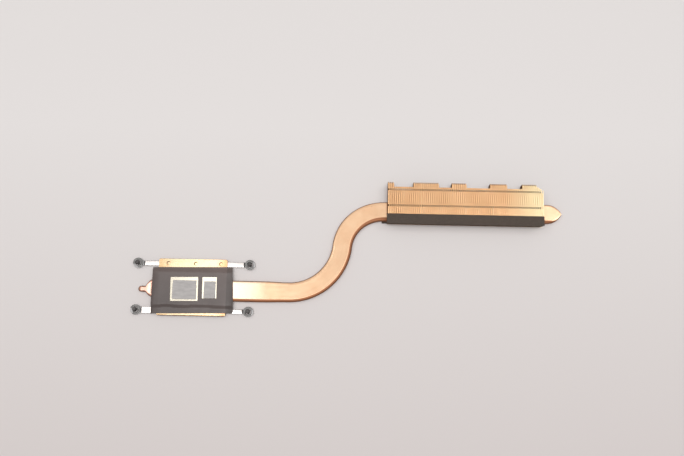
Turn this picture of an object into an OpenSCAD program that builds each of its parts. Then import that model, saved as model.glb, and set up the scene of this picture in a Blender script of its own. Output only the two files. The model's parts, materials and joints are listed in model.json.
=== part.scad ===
// Laptop heat-pipe heatsink: a copper cold plate on two spring strips with four captive screws,
// a flattened heat pipe with an S bend, and a pack of folded, interlocking copper fins.
// Millimetres, +Z up. It lies with its contact side up, as it would on a bench.
// The origin is under the middle of the whole part, on the surface that it lies on.

/* [Screws] */
// Screw spacing along the long side of the cold plate
screw_span_x = 52.6; // [48:0.1:58]
// Screw spacing across the cold plate
screw_span_y = 22; // [20:0.1:24]
// Diameter of the screw head
head_d = 4.4; // [3.8:0.1:4.8]
// Height of the screw head
head_h = 1; // [0.8:0.05:1.2]
// Diameter of the plain shoulder that slides in the strip's eye
shoulder_d = 2.6; // [2.4:0.05:3]
// Diameter of the threaded end
thread_d = 2; // [1.6:0.1:2.2]
// Length of the threaded end above the retaining clip
thread_h = 1.9; // [1.2:0.1:3]
// How far each screw slides in its eye
screw_travel = 0.8; // [0.4:0.05:1.2]
// Thickness of the retaining clip
clip_t = 0.4; // [0.3:0.05:0.6]
// Outer diameter of the retaining clip
clip_d = 4.6; // [4:0.1:5]
// Width of the clip's outer rim, between its prongs
clip_rim = 0.6; // [0.4:0.05:0.9]
// Half of the angle that the clip's mouth leaves open, in degrees
clip_mouth = 40; // [30:1:48]

/* [Spring strips] */
// Thickness of the spring strip
strip_t = 0.4; // [0.3:0.05:0.6]
// Width of a strip's free arm
arm_w = 2.6; // [2:0.1:3.2]
// Width of the strip where it is staked under the plate
strip_mid_w = 3.8; // [3.2:0.1:4.4]
// Outer diameter of the eye at each end of the strip
eye_d = 5; // [4.6:0.1:5.6]
// How far the eyes are set down from the rest of the strip
eye_drop = 0.45; // [0.2:0.05:0.8]
// Length of the sloping step beside each eye
eye_step = 0.6; // [0.4:0.1:1.2]
// How far the strip's wide middle stops short of the plate's ends
strip_hidden = 1.4; // [0.8:0.1:3]

/* [Cold plate] */
// Length of the cold plate, along the pipe
plate_w = 32.1; // [30:0.1:36]
// How far the plate's edge on the fin side reaches past the axis of the strip under it
plate_far_lip = 2.2; // [1.9:0.1:3.2]
// How far the plate's other edge reaches past the axis of the strip under it
plate_near_lip = 2.5; // [1.9:0.1:4]
// How far the plate is off the middle of the screws, away from the fins
plate_shift = 0.3; // [0:0.1:1]
// Thickness of the stamped plate
plate_t = 0.8; // [0.6:0.05:1.2]
// Width of the raised middle of the plate
plateau_w = 14.7; // [13.6:0.1:15.4]
// How far the middle of the plate is raised over its two flanges
plateau_rise = 1; // [0.6:0.05:1.4]
// Run of the slope beside the raised middle
plateau_slope = 1; // [0.6:0.1:1.4]
// How far the raised middle is off the middle of the screws, away from the fins
plateau_shift = 0.9; // [0.6:0.1:1.2]
// Corner radius of the plate
plate_corner = 0.8; // [0.3:0.1:2]
// Diameter of the three stakes along each flange
stake_d = 1.8; // [1.4:0.1:2.2]
// Distance from the middle stake to the left one
stake_left = 12.9; // [10:0.1:14]
// Distance from the middle stake to the right one
stake_right = 11.8; // [10:0.1:13]

/* [Heat pipe] */
// Thickness of the flattened pipe
pipe_t = 1.8; // [1.4:0.05:2.4]
// Width of the pipe under the cold plate, where it is pressed widest
pipe_plate_w = 9.4; // [9:0.1:10]
// Width of the pipe in its bends and under the fins
pipe_w = 8.8; // [8:0.1:9.4]
// Wall of the pipe
pipe_wall = 0.3; // [0.2:0.05:0.4]
// Width of the wick strip that lies inside the pipe
wick_w = 3.2; // [2:0.1:5]
// Centre-line radius of the bend next to the cold plate
bend_r1 = 24.8; // [22:0.1:32]
// Centre-line radius of the bend next to the fins
bend_r2 = 19.7; // [18:0.1:30]
// How far the pipe steps sideways between the plate and the fins
pipe_offset = 39.9; // [30:0.1:42]
// Where the first bend starts, from the middle of the screws
bend_start = 44.8; // [40:0.1:60]
// Length of pipe that is narrowed before the first bend
taper_len = 12.5; // [6:0.5:16]
// Distance from the middle of the screws to the pipe's axis, away from the fins
pipe_shift = 1.5; // [0.8:0.1:1.8]
// Radius of the swaged shoulders at the filling end
nose_r = 8.6; // [7:0.1:10]
// Distance from the plate's end to where the shoulders begin, under the plate
nose_inset = 0.6; // [0.5:0.1:3]
// How far the crimping pushed the shoulders to one side
nose_skew = 0.4; // [0:0.05:0.6]
// Width of the crimped filling nozzle
nozzle_w = 2.8; // [2:0.05:3.2]
// Reach of the nozzle past the end of the plate
nozzle_reach = 9.2; // [8.4:0.1:12]
// Radius of the two sides of the pointed end
tip_r = 13.1; // [10:0.1:18]

/* [Fins] */
// Number of folded fins
fin_count = 73; // [71:1:80]
// Fin pitch, which is the width of each folded flange
fin_pitch = 1; // [0.8:0.02:1.3]
// Thickness of the fin sheet
fin_t = 0.2; // [0.1:0.02:0.25]
// Height of a fin
fin_h = 5.6; // [4:0.1:8]
// Outer radius of the folds along a fin's top and bottom
fin_fold = 0.34; // [0.26:0.02:0.5]
// Depth of the fin pack, along the air flow
fin_depth = 17; // [15.6:0.1:22]
// Distance from the pipe's axis to the near edge of the fins
fin_near = 6.7; // [5:0.1:9]
// Length of bare pipe between the second bend and the first fin
stub_len = 1.4; // [0.5:0.1:6]
// Extra depth of the longer fins
tab_depth = 1.9; // [0.5:0.1:3]
// Width of a locking window in a fin
lock_window = 1; // [0.7:0.05:1.4]
// Width of the tongue that goes through a window
lock_tongue = 0.45; // [0.3:0.05:0.6]
// Distance from the far edge of the fins to the first locking row
lock_far = 1.35; // [1:0.05:2.5]
// Distance between the two locking rows
lock_pitch = 7.6; // [6:0.1:9]

/* [Soft parts] */
// Length of the insulating film
film_l = 37.7; // [36:0.1:40]
// Width of the insulating film
film_w = 21.7; // [20:0.1:22]
// Thickness of the insulating film
film_t = 0.12; // [0.06:0.02:0.2]
// How much the film is stuck on askew, in degrees
film_turn = 1.2; // [0:0.1:1.6]
// Gap between the sides of a window in the film and its thermal pad
window_gap = 0.95; // [0.8:0.05:1.2]
// Length of the processor's thermal pad
cpu_pad_l = 11.15; // [9:0.05:11.8]
// Width of the processor's thermal pad
cpu_pad_w = 8.95; // [7:0.05:10]
// Length of the chipset's thermal pad
chip_pad_l = 5.4; // [4:0.05:6]
// Width of the chipset's thermal pad
chip_pad_w = 8; // [6:0.05:9]
// Thickness of the thermal pads
pad_t = 0.5; // [0.3:0.05:1]
// Width of the foam strips
foam_w = 5; // [4:0.1:6]
// How far the foam strip on the fins reaches past their near edge
foam_lip = 0.95; // [0:0.05:1.5]
// Thickness of the foam strip on top of the fins
foam_top_t = 1; // [0.5:0.1:2]

/* [Hidden] */
$fn = 48;

// Clearance between parts that move, and the thickness of a soldered joint
fit = 0.05;
solder_t = 0.1;
// Length by which a cutter runs past the face that it cuts
over = 1;

// Heights, built up from the surface that the screw heads stand on
eye_z = head_h + fit;
strip_z = eye_z + eye_drop;
flange_z = strip_z + strip_t;
plateau_z = flange_z + plateau_rise;
flange_top = flange_z + plate_t;
plateau_top = plateau_z + plate_t;
pipe_top = plateau_z - solder_t;
pipe_z = pipe_top - pipe_t;
pipe_mid = pipe_z + pipe_t / 2;
fin_z = pipe_top + solder_t;
fin_top = fin_z + fin_h;
clip_z = eye_z + strip_t + screw_travel + fit;
thread_z = clip_z + clip_t + fit;

// The screws: the rounded rims of head and tip, the clip's groove, and the cross in the head
screw_edge = 0.2;
groove_t = 0.2;
groove_r = thread_d / 2 - groove_t;
cross_l = head_d / 2;
cross_w = head_d / 8;
cross_deep = 0.6 * head_h;

// The clips' bores, their prongs, and which way each mouth faces
clip_inner_r = groove_r + fit;
prong_w = 0.8;
prong_turn = 60;
clip_turns = [235, 5, 200, -8];

// The plate and its raised middle, in plan
plate_x0 = -plate_shift - plate_w / 2;
plate_x1 = plate_x0 + plate_w;
plate_y0 = -screw_span_y / 2 - plate_near_lip;
plate_y1 = screw_span_y / 2 + plate_far_lip;
plateau_mid = -plateau_shift;
plateau_y0 = plateau_mid - plateau_w / 2;
plateau_y1 = plateau_y0 + plateau_w;
stake_mid_x = 1;
stake_xs = [stake_mid_x - stake_left, stake_mid_x, stake_mid_x + stake_right];
stake_punch = 0.6 * plate_t;
stake_head_t = 0.2;
stake_head_rim = 0.3;

// The strip's hidden middle, and where the step beside an eye ends, a little inside the eye's rim
strip_mid_half = plate_w / 2 - strip_hidden;
eye_level = 0.1;
eye_step_x = screw_span_x / 2 - eye_d / 2 + eye_level;
eye_hole_d = shoulder_d + 4 * fit;

// The pipe's route: straight, two tangent bends, straight
axis_y0 = -pipe_shift;
axis_y1 = axis_y0 + pipe_offset;
bend_turn = acos(1 - pipe_offset / (bend_r1 + bend_r2));
bend_end = bend_start + (bend_r1 + bend_r2) * sin(bend_turn);
nose_x = plate_x0 + nose_inset;
nozzle_end = plate_x0 - nozzle_reach;

// The fin pack
stack_x0 = bend_end + stub_len;
flange_gap = 0.04;
stack_x1 = stack_x0 + fin_count * fin_pitch - flange_gap;
fin_y0 = axis_y1 - fin_near;
fin_y1 = fin_y0 + fin_depth;
lock_ys = [fin_depth - lock_far, fin_depth - lock_far - lock_pitch];
lock_slack = 5 * fit;
hook_t = 0.15;
hook_drop = 0.2;
tip_start = 0.1;
tip_x = stack_x1 - tip_start;
tip_flat = 0.3;
tip_end = tip_x + end_run(tip_r, tip_flat, pipe_w / 2);
tip_pinch = 0.35;
cavity_end = 0.8;

// Steps of the swept pipe: along each bend, each curved end and the taper, and round a side
bend_steps = 16;
end_steps = 7;
taper_steps = 4;
side_steps = 6;

// What the last three fins add to the depth, where the far corner is cut off
corner_steps = [0.9, 0.2, -0.6];
corner_start = fin_count - len(corner_steps);
// Fin groups, as the first fin of each and whether its fins are the longer ones
fin_groups = [
    [0, true], [3, false], [12, true], [24, false], [30, true],
    [37, false], [48, true], [56, false], [63, true], [corner_start, false]
];

// The film, its windows and the pads
film_x = 0.1;
film_y = plateau_mid - 0.6;
film_slack = 0.9;
film_drape = plateau_slope + film_slack;
cpu_pad_x = -3.65;
cpu_pad_y = plateau_mid - 0.6;
chip_pad_x = 8.15;
chip_pad_y = plateau_mid - 0.4;
cpu_window_near = 0.7;
cpu_window_far = 1.5;
chip_window_near = 0.25;
chip_window_far = 1.95;

// The foam strips
foam_end = 0.5;
foam_low_end = 2.6;
foam_low_near = 5.9;

// The part's outer limits in plan, which set its origin
part_x0 = -(screw_span_x + eye_d) / 2;
part_y0 = -screw_span_y / 2 - max(plate_near_lip, eye_d / 2);
part_y1 = fin_y1 + tab_depth;
centre = [(part_x0 + tip_end) / 2, (part_y0 + part_y1) / 2, 0];

// Everything is drawn around the middle of the screws and then moved onto the origin
module place() {
    translate(-centre) children();
}

// The pipe and its wick are swept along the route. A station is a place on the route:
// [x, y, heading, half width, half height]

// How far before its full width a curved end of radius r begins, from half width "from" to "to"
function end_run(r, from, to) = sqrt(pow(r, 2) - pow(r - to + from, 2));

// Half width of a curved end at a distance from its full half width
function end_half(r, full, distance) = full - r + sqrt(pow(r, 2) - pow(distance, 2));

// A smooth step from 0 to 1
function ease(u) = u * u * (3 - 2 * u);

// From the plate's side of the pipe to the fins: straight, narrowing, two bends, straight
function route(half0, half1, high) = concat(
    [[nose_x, axis_y0, 0, half0, high]],
    [for (i = [0:taper_steps]) let (u = i / taper_steps)
        [bend_start - taper_len * (1 - u), axis_y0, 0, half0 + (half1 - half0) * ease(u), high]],
    [for (i = [1:bend_steps]) let (turn = bend_turn * i / bend_steps)
        [bend_start + bend_r1 * sin(turn), axis_y0 + bend_r1 * (1 - cos(turn)), turn, half1, high]],
    [for (i = [1:bend_steps]) let (turn = bend_turn * (1 - i / bend_steps))
        [bend_end - bend_r2 * sin(turn), axis_y1 - bend_r2 * (1 - cos(turn)), turn, half1, high]],
    [[tip_x, axis_y1, 0, half1, high]]
);

// The swaged shoulders, from the nozzle's half width up to the pipe's
function shoulders(half0, end, inset) = let (
    r = nose_r - inset,
    run = end_run(r, end, half0)
) [for (i = [0:end_steps - 1]) let (distance = run * (1 - i / end_steps))
    [nose_x - distance, axis_y0 + nose_skew * sin(180 * i / end_steps), 0,
        end_half(r, half0, distance), pipe_t / 2 - inset]];

// The pointed end, which is pinched a little thinner towards its tip
function point(half1, end, inset) = let (
    r = tip_r - inset,
    run = end_run(r, end, half1)
) [for (i = [1:end_steps]) let (distance = run * i / end_steps)
    [tip_x + distance, axis_y1, 0, end_half(r, half1, distance),
        (pipe_t / 2 - inset) * (1 - tip_pinch * ease(i / end_steps))]];

// The crimped filling nozzle, with a rounded end
function nozzle() = let (half = nozzle_w / 2) [for (turn = [20, 45, 70, 90])
    [nozzle_end + half * (1 - cos(turn)), axis_y0, 0, half * sin(turn), pipe_t / 2 * sin(turn)]];

// A flattened tube's section: half-round sides joined by flats
function section(half, high) = let (side = min(high, 0.9 * half)) concat(
    [for (i = [0:side_steps]) let (turn = -90 + 180 * i / side_steps)
        [half - side + side * cos(turn), high * sin(turn)]],
    [for (i = [0:side_steps]) let (turn = 90 + 180 * i / side_steps)
        [side - half + side * cos(turn), high * sin(turn)]]
);

function station_ring(at) = [for (p = section(at[3], at[4]))
    [at[0] - p[0] * sin(at[2]), at[1] + p[0] * cos(at[2]), p[1]]];

module sweep(stations) {
    ring = 2 * (side_steps + 1);
    count = len(stations);
    polyhedron(
        points = [for (at = stations) each station_ring(at)],
        faces = concat(
            [[for (k = [0:ring - 1]) k]],
            [for (i = [0:count - 2], k = [0:ring - 1]) let (next = (k + 1) % ring)
                each [[i * ring + k, (i + 1) * ring + k, (i + 1) * ring + next],
                    [i * ring + k, (i + 1) * ring + next, i * ring + next]]],
            [[for (k = [ring - 1:-1:0]) (count - 1) * ring + k]]
        )
    );
}

module heat_pipe() {
    half0 = pipe_plate_w / 2;
    half1 = pipe_w / 2;
    high = pipe_t / 2;
    color("#d99a68") place() translate([0, 0, pipe_mid]) difference() {
        sweep(concat(
            nozzle(), shoulders(half0, nozzle_w / 2, 0), route(half0, half1, high), point(half1, tip_flat, 0)
        ));
        sweep(concat(
            shoulders(half0 - pipe_wall, cavity_end, pipe_wall),
            route(half0 - pipe_wall, half1 - pipe_wall, high - pipe_wall),
            point(half1 - pipe_wall, cavity_end, pipe_wall)
        ));
    }
}

module wick() {
    color("#b5713f") place() translate([0, 0, pipe_mid])
        sweep(route(wick_w / 2, wick_w / 2, pipe_t / 2 - pipe_wall - fit));
}

// The plate's section: two flanges and a raised middle that the pipe lies under
module plate_section() {
    draw_in = 0.4 * plate_t;
    polygon([
        [plate_y0, flange_z], [plateau_y0 - plateau_slope + draw_in, flange_z],
        [plateau_y0 + draw_in, plateau_z], [plateau_y1 - draw_in, plateau_z],
        [plateau_y1 + plateau_slope - draw_in, flange_z], [plate_y1, flange_z],
        [plate_y1, flange_top], [plateau_y1 + plateau_slope, flange_top],
        [plateau_y1, plateau_top], [plateau_y0, plateau_top],
        [plateau_y0 - plateau_slope, flange_top], [plate_y0, flange_top]
    ]);
}

module rounded_plan(x0, y0, x1, y1, r) {
    translate([x0 + r, y0]) square([x1 - x0 - 2 * r, y1 - y0]);
    translate([x0, y0 + r]) square([x1 - x0, y1 - y0 - 2 * r]);
    for (x = [x0 + r, x1 - r], y = [y0 + r, y1 - r]) translate([x, y]) circle(r);
}

// Punched down from above: a blind hole on top, and a stake that rivets the strip below
module stake_holes(d) {
    for (x = stake_xs, side = [-1, 1])
        translate([x, side * screw_span_y / 2, flange_top - stake_punch]) cylinder(d = d, h = stake_punch + over);
}

module stakes(d) {
    for (x = stake_xs, side = [-1, 1]) translate([x, side * screw_span_y / 2, 0]) {
        translate([0, 0, strip_z - stake_head_t / 2]) cylinder(d = d, h = strip_t + stake_head_t);
        translate([0, 0, strip_z - stake_head_t]) cylinder(d = d + 2 * stake_head_rim, h = stake_head_t);
    }
}

module cold_plate() {
    color("#e0b383") place() {
        difference() {
            intersection() {
                translate([plate_x0, 0, 0]) rotate([90, 0, 90]) linear_extrude(plate_w) plate_section();
                linear_extrude(plateau_top + over)
                    rounded_plan(plate_x0, plate_y0, plate_x1, plate_y1, plate_corner);
            }
            stake_holes(stake_d);
        }
        stakes(stake_d - 2 * fit);
    }
}

// Solder between a flat side of the pipe and what is joined to it
module plate_solder() {
    flat = pipe_plate_w - pipe_t;
    color("#a9a9a9") place() translate([nose_x, axis_y0 - flat / 2, pipe_top])
        cube([plate_x1 - nose_x, flat, solder_t]);
}

module fin_solder() {
    flat = pipe_w - pipe_t;
    color("#a9a9a9") place() translate([stack_x0, axis_y1 - flat / 2, pipe_top])
        cube([stack_x1 - stack_x0, flat, solder_t]);
}

module strip_plan() {
    half = screw_span_x / 2;
    difference() {
        union() {
            square([2 * strip_mid_half, strip_mid_w], center = true);
            square([2 * half, arm_w], center = true);
            for (side = [-1, 1]) translate([side * half, 0]) circle(d = eye_d);
        }
        for (side = [-1, 1]) translate([side * half, 0]) circle(d = eye_hole_d);
        for (x = stake_xs) translate([x, 0]) circle(d = stake_d);
    }
}

// The strip's side view: level under the plate, then a step down to each eye
module strip_side() {
    reach = screw_span_x / 2 + eye_d;
    high_x = eye_step_x - eye_step;
    polygon([
        [-reach, eye_z], [-eye_step_x, eye_z], [-high_x, strip_z],
        [high_x, strip_z], [eye_step_x, eye_z], [reach, eye_z],
        [reach, eye_z + strip_t], [eye_step_x, eye_z + strip_t], [high_x, strip_z + strip_t],
        [-high_x, strip_z + strip_t], [-eye_step_x, eye_z + strip_t], [-reach, eye_z + strip_t]
    ]);
}

module spring_strip(side) {
    color("#e6e6e6") place() translate([0, side * screw_span_y / 2, 0]) intersection() {
        linear_extrude(flange_z + over) strip_plan();
        translate([0, eye_d, 0]) rotate([90, 0, 0]) linear_extrude(2 * eye_d) strip_side();
    }
}

module strip_far() {
    spring_strip(1);
}

module strip_near() {
    spring_strip(-1);
}

module at_screw(number) {
    corner = [[-1, 1], [1, 1], [-1, -1], [1, -1]][number - 1];
    place() translate([corner[0] * screw_span_x / 2, corner[1] * screw_span_y / 2, 0]) children();
}

// A captive screw, head down: head, sliding shoulder, clip groove and threaded end
module screw(number) {
    edge = screw_edge;
    end_z = thread_z + thread_h;
    color("#707070") at_screw(number) difference() {
        rotate_extrude() polygon([
            [0, 0], [head_d / 2 - edge, 0], [head_d / 2, edge], [head_d / 2, head_h],
            [shoulder_d / 2, head_h], [shoulder_d / 2, clip_z], [groove_r, clip_z],
            [groove_r, thread_z], [thread_d / 2, thread_z], [thread_d / 2, end_z - edge],
            [thread_d / 2 - edge, end_z], [0, end_z]
        ]);
        for (turn = [0, 90]) rotate([0, 0, turn])
            translate([-cross_l / 2, -cross_w / 2, -over]) cube([cross_l, cross_w, over + cross_deep]);
    }
}

// The retaining clip in plan: a rim, open at its mouth, with three prongs that reach into the groove
module clip_plan() {
    reach = clip_d;
    difference() {
        circle(d = clip_d);
        circle(clip_inner_r);
        difference() {
            circle(clip_d / 2 - clip_rim);
            for (turn = [-prong_turn, prong_turn, 180]) rotate(turn)
                translate([0, -prong_w / 2]) square([reach, prong_w]);
        }
        polygon([[0, 0], [reach, -reach * tan(clip_mouth)], [reach, reach * tan(clip_mouth)]]);
    }
}

// The retaining clip that keeps a screw in its eye
module clip(number) {
    color("#8c8c8c") at_screw(number) translate([0, 0, clip_z])
        rotate([0, 0, clip_turns[number - 1]]) linear_extrude(clip_t) clip_plan();
}

// The film's side view: it lies on the raised middle and drapes to the flanges
module film_section() {
    ys = [plate_y0, plateau_y0 - film_drape, plateau_y0 - fit, plateau_y1 + fit, plateau_y1 + film_drape, plate_y1];
    zs = [flange_top, flange_top, plateau_top, plateau_top, flange_top, flange_top];
    polygon(concat(
        [for (i = [0:5]) [ys[i], zs[i]]],
        [for (i = [5:-1:0]) [ys[i], zs[i] + film_t]]
    ));
}

// A window is cut square to the film, round a pad at x, y of size l by w
module window(x, y, l, w, near, far) {
    translate([x, y + (far - near) / 2, 0]) rotate([0, 0, film_turn])
        translate([-l / 2 - window_gap, -w / 2 - (far + near) / 2, 0])
            cube([l + 2 * window_gap, w + far + near, plateau_top + over]);
}

module insulating_film() {
    color("#4a4644") place() difference() {
        intersection() {
            translate([film_x - film_l, 0, 0]) rotate([90, 0, 90]) linear_extrude(2 * film_l) film_section();
            translate([film_x, film_y, 0]) rotate([0, 0, film_turn])
                translate([-film_l / 2, -film_w / 2, 0]) cube([film_l, film_w, plateau_top + over]);
        }
        window(cpu_pad_x, cpu_pad_y, cpu_pad_l, cpu_pad_w, cpu_window_near, cpu_window_far);
        window(chip_pad_x, chip_pad_y, chip_pad_l, chip_pad_w, chip_window_near, chip_window_far);
    }
}

module pad(x, y, l, w) {
    color("#b3aeaa") place() translate([x - l / 2, y - w / 2, plateau_top]) cube([l, w, pad_t]);
}

module cpu_pad() {
    pad(cpu_pad_x, cpu_pad_y, cpu_pad_l, cpu_pad_w);
}

module chipset_pad() {
    pad(chip_pad_x, chip_pad_y, chip_pad_l, chip_pad_w);
}

// A box in plan whose two left corners are rounded
module left_rounded(l, h, r) {
    translate([r, 0]) square([l - r, h]);
    translate([0, r]) square([l, h - 2 * r]);
    for (y = [r, h - r]) translate([r, y]) circle(r);
}

// One folded fin: a wall with a flange along its top and its bottom, joined by round folds
module fin_channel(depth) {
    reach = fin_pitch - flange_gap;
    translate([0, depth, 0]) rotate([90, 0, 0]) linear_extrude(depth) difference() {
        left_rounded(reach, fin_h, fin_fold);
        translate([fin_t, fin_t]) left_rounded(reach, fin_h - 2 * fin_t, fin_fold - fin_t);
    }
}

// The tongue that leaves a top flange, goes through the next fin's window and hooks down behind its wall
module lock_tongue_top() {
    root = fin_pitch - flange_gap - fin_t;
    back = fin_pitch + fin_t + fit;
    translate([0, lock_tongue / 2, 0]) rotate([90, 0, 0]) linear_extrude(lock_tongue) polygon([
        [root, fin_h - fin_t], [back, fin_h - fin_t], [back, fin_h - fin_t - hook_drop],
        [back + hook_t, fin_h - fin_t - hook_drop], [back + hook_t, fin_h], [root, fin_h]
    ]);
}

module lock_window_top() {
    deep = fin_t + hook_drop + 2 * fit;
    long = fin_t + hook_t + lock_slack;
    translate([-over, -lock_window / 2, fin_h - deep]) cube([long + over, lock_window, deep + over]);
}

// The same form on the top and, mirrored, on the bottom of a fin, in both locking rows
module both_edges() {
    for (y = lock_ys) translate([0, y, 0]) {
        children();
        translate([0, 0, fin_h]) mirror([0, 0, 1]) children();
    }
}

module fin(number, extra) {
    translate([stack_x0 + number * fin_pitch, fin_y0, fin_z]) {
        difference() {
            fin_channel(fin_depth + extra);
            both_edges() lock_window_top();
        }
        if (number < fin_count - 1) both_edges() lock_tongue_top();
    }
}

function fin_extra(number, longer) =
    number >= corner_start ? corner_steps[number - corner_start] : longer ? tab_depth : 0;

module fin_group(index) {
    group = fin_groups[index - 1];
    last = index < len(fin_groups) ? fin_groups[index][0] - 1 : fin_count - 1;
    color("#d79a5f") place() for (number = [group[0]:last])
        fin(number, fin_extra(number, group[1]));
}

module foam_top() {
    color("#585046") place() translate([stack_x0 - foam_end, fin_y0 - foam_lip, fin_top])
        cube([stack_x1 - stack_x0 + foam_end, foam_w, foam_top_t]);
}

// The lower strip is stuck under the pipe and is as thick as the space that the screw heads leave
module foam_low() {
    color("#4f463c") place() translate([stack_x0 - foam_low_end, axis_y1 - foam_low_near, 0])
        cube([stack_x1 - stack_x0, foam_w, pipe_z]);
}

heat_pipe();
wick();
cold_plate();
plate_solder();
strip_far();
strip_near();
screw(1);  // screw_1
screw(2);  // screw_2
screw(3);  // screw_3
screw(4);  // screw_4
clip(1);  // clip_1
clip(2);  // clip_2
clip(3);  // clip_3
clip(4);  // clip_4
insulating_film();
cpu_pad();
chipset_pad();
fin_solder();
fin_group(1);  // fins_1
fin_group(2);  // fins_2
fin_group(3);  // fins_3
fin_group(4);  // fins_4
fin_group(5);  // fins_5
fin_group(6);  // fins_6
fin_group(7);  // fins_7
fin_group(8);  // fins_8
fin_group(9);  // fins_9
fin_group(10);  // fins_10
foam_top();
foam_low();
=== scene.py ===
# %% [markdown]
# # A laptop's heat-pipe heatsink
# A processor's heat goes through a copper plate into a flattened pipe, and the pipe carries it to a
# pack of thin fins that a fan would blow through. The part lies here with its contact side up.
# This lesson builds each piece in bmesh around a fixed CAD model, in millimetres, and dresses it in
# procedural metals, film and foam. We start by loading that model, because every size comes from it.

# %% Load the fixed frame
import json
import math
import random

import bmesh
import bpy
from mathutils import Matrix, Vector, noise


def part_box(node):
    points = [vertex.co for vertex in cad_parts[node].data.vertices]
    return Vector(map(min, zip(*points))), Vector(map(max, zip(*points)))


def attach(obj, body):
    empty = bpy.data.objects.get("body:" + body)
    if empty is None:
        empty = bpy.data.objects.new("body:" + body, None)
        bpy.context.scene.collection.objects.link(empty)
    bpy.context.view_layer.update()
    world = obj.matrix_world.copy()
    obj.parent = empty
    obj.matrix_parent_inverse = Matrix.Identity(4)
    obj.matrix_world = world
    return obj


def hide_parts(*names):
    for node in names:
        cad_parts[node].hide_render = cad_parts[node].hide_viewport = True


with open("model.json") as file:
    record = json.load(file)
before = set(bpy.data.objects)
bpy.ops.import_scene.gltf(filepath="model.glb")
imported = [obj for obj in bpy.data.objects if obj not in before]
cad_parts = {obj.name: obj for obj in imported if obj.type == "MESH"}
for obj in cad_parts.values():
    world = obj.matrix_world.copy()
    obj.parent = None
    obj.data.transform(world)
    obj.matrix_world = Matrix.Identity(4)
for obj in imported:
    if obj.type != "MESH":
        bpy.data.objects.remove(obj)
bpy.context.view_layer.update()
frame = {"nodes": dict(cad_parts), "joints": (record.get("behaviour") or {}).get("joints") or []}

# %% [markdown]
# ## One place to measure from
# The four captive screws stand on a rectangle, and the middle of that rectangle is a good origin for
# modelling: the plate, the pads and the pipe are all dimensioned from it. The joints of the model
# give the screws' axes. Everything below is drawn in millimetres around that middle.

# %% Find the middle of the screws
MM = 0.001
screw_axes = {}
for joint in frame["joints"]:
    if joint["type"] == "hinge":
        screw_axes[joint["child"]] = Vector(joint["pos_m"]) / MM
home = sum(screw_axes.values(), Vector()) / len(screw_axes)
home.z = 0


def cad(node):
    """Lowest and highest corner of a CAD node, in millimetres from the middle of the screws."""
    return [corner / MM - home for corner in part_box(node)]


print("middle of the screws, in millimetres of the frame:", [round(x, 2) for x in home])

# %% [markdown]
# ## Camera
# The photograph was taken from almost straight above, about 42 cm over the table. The camera's place
# and lens were solved from the screws, the plate's corners and the fins' corners, so the render lines
# up with the photograph. Perspective matters here: the tall fin pack leans away from the middle. The
# place is in millimetres from the middle of the screws, and the turn in degrees.

# %% Set the camera
CAMERA_PLACE = Vector((73.02, -50.17, 418.7))
CAMERA_TURN = (10.849, 0.294, 1.25)
LENS = 47.18
SENSOR = 36

camera_data = bpy.data.cameras.new("camera")
camera_data.lens = LENS
camera_data.sensor_width = SENSOR
camera_data.clip_start = 0.01
camera = bpy.data.objects.new("camera", camera_data)
camera.location = (home + CAMERA_PLACE) * MM
camera.rotation_euler = [math.radians(angle) for angle in CAMERA_TURN]
bpy.context.scene.collection.objects.link(camera)
bpy.context.scene.camera = camera
bpy.context.scene.view_settings.view_transform = "Standard"
print("camera height in millimetres:", round(camera.location.z / MM, 1))

# %% [markdown]
# ## A short vocabulary for shader nodes
# A procedural material is a small chain of nodes: a place on the surface, a noise read there, a ramp
# that turns the noise into colours, and a bump. Naming each link of that chain once keeps the
# materials below short, so that their numbers can be read as finishes.


# %% Helpers for materials
def add(tree, kind, **values):
    """Adds a shader node. A value goes to the socket of that name, or else to the node's own setting."""
    made = tree.nodes.new("ShaderNode" + kind)
    for name, value in values.items():
        socket = made.inputs.get(name.replace("_", " "))
        if socket is None:
            setattr(made, name, value)
        else:
            socket.default_value = value
    return made


def new_material(name, metallic=0.0):
    """A material, its node tree and its Principled shader."""
    made = bpy.data.materials.new(name)
    made.use_nodes = True
    shader = made.node_tree.nodes["Principled BSDF"]
    shader.inputs["Metallic"].default_value = metallic
    return made, made.node_tree, shader


def surface_place(tree, scale=(1, 1, 1), turn=0.0, source="Object"):
    """Places on the surface, in metres, stretched by scale and turned about the vertical."""
    mapping = add(tree, "Mapping", Scale=scale, Rotation=(0, 0, math.radians(turn)))
    tree.links.new(add(tree, "TexCoord").outputs[source], mapping.inputs["Vector"])
    return mapping.outputs["Vector"]


def noise_at(tree, place, scale, detail=4.0, roughness=0.55):
    made = add(tree, "TexNoise", Scale=scale, Detail=detail, Roughness=roughness)
    tree.links.new(place, made.inputs["Vector"])
    return made.outputs["Fac"]


def ramp(tree, value, *stops):
    """Turns a value into a colour. Each stop is a position and a grey level or a colour."""
    made = add(tree, "ValToRGB")
    elements = made.color_ramp.elements
    while len(elements) < len(stops):
        elements.new(0.5)
    for element, (position, colour) in zip(elements, stops):
        element.position = position
        element.color = (*colour, 1) if hasattr(colour, "__len__") else (colour, colour, colour, 1)
    tree.links.new(value, made.inputs["Fac"])
    return made.outputs["Color"]


def mix(tree, factor, first, second, how="MIX"):
    """Blends two colours by a factor. Each may be a socket or a plain colour."""
    made = add(tree, "Mix", data_type="RGBA", blend_type=how)
    for socket, value in ((made.inputs[0], factor), (made.inputs[6], first), (made.inputs[7], second)):
        if isinstance(value, bpy.types.NodeSocket):
            tree.links.new(value, socket)
        elif hasattr(value, "__len__"):
            socket.default_value = (*value, 1)
        else:
            socket.default_value = value
    return made.outputs[2]


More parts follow.
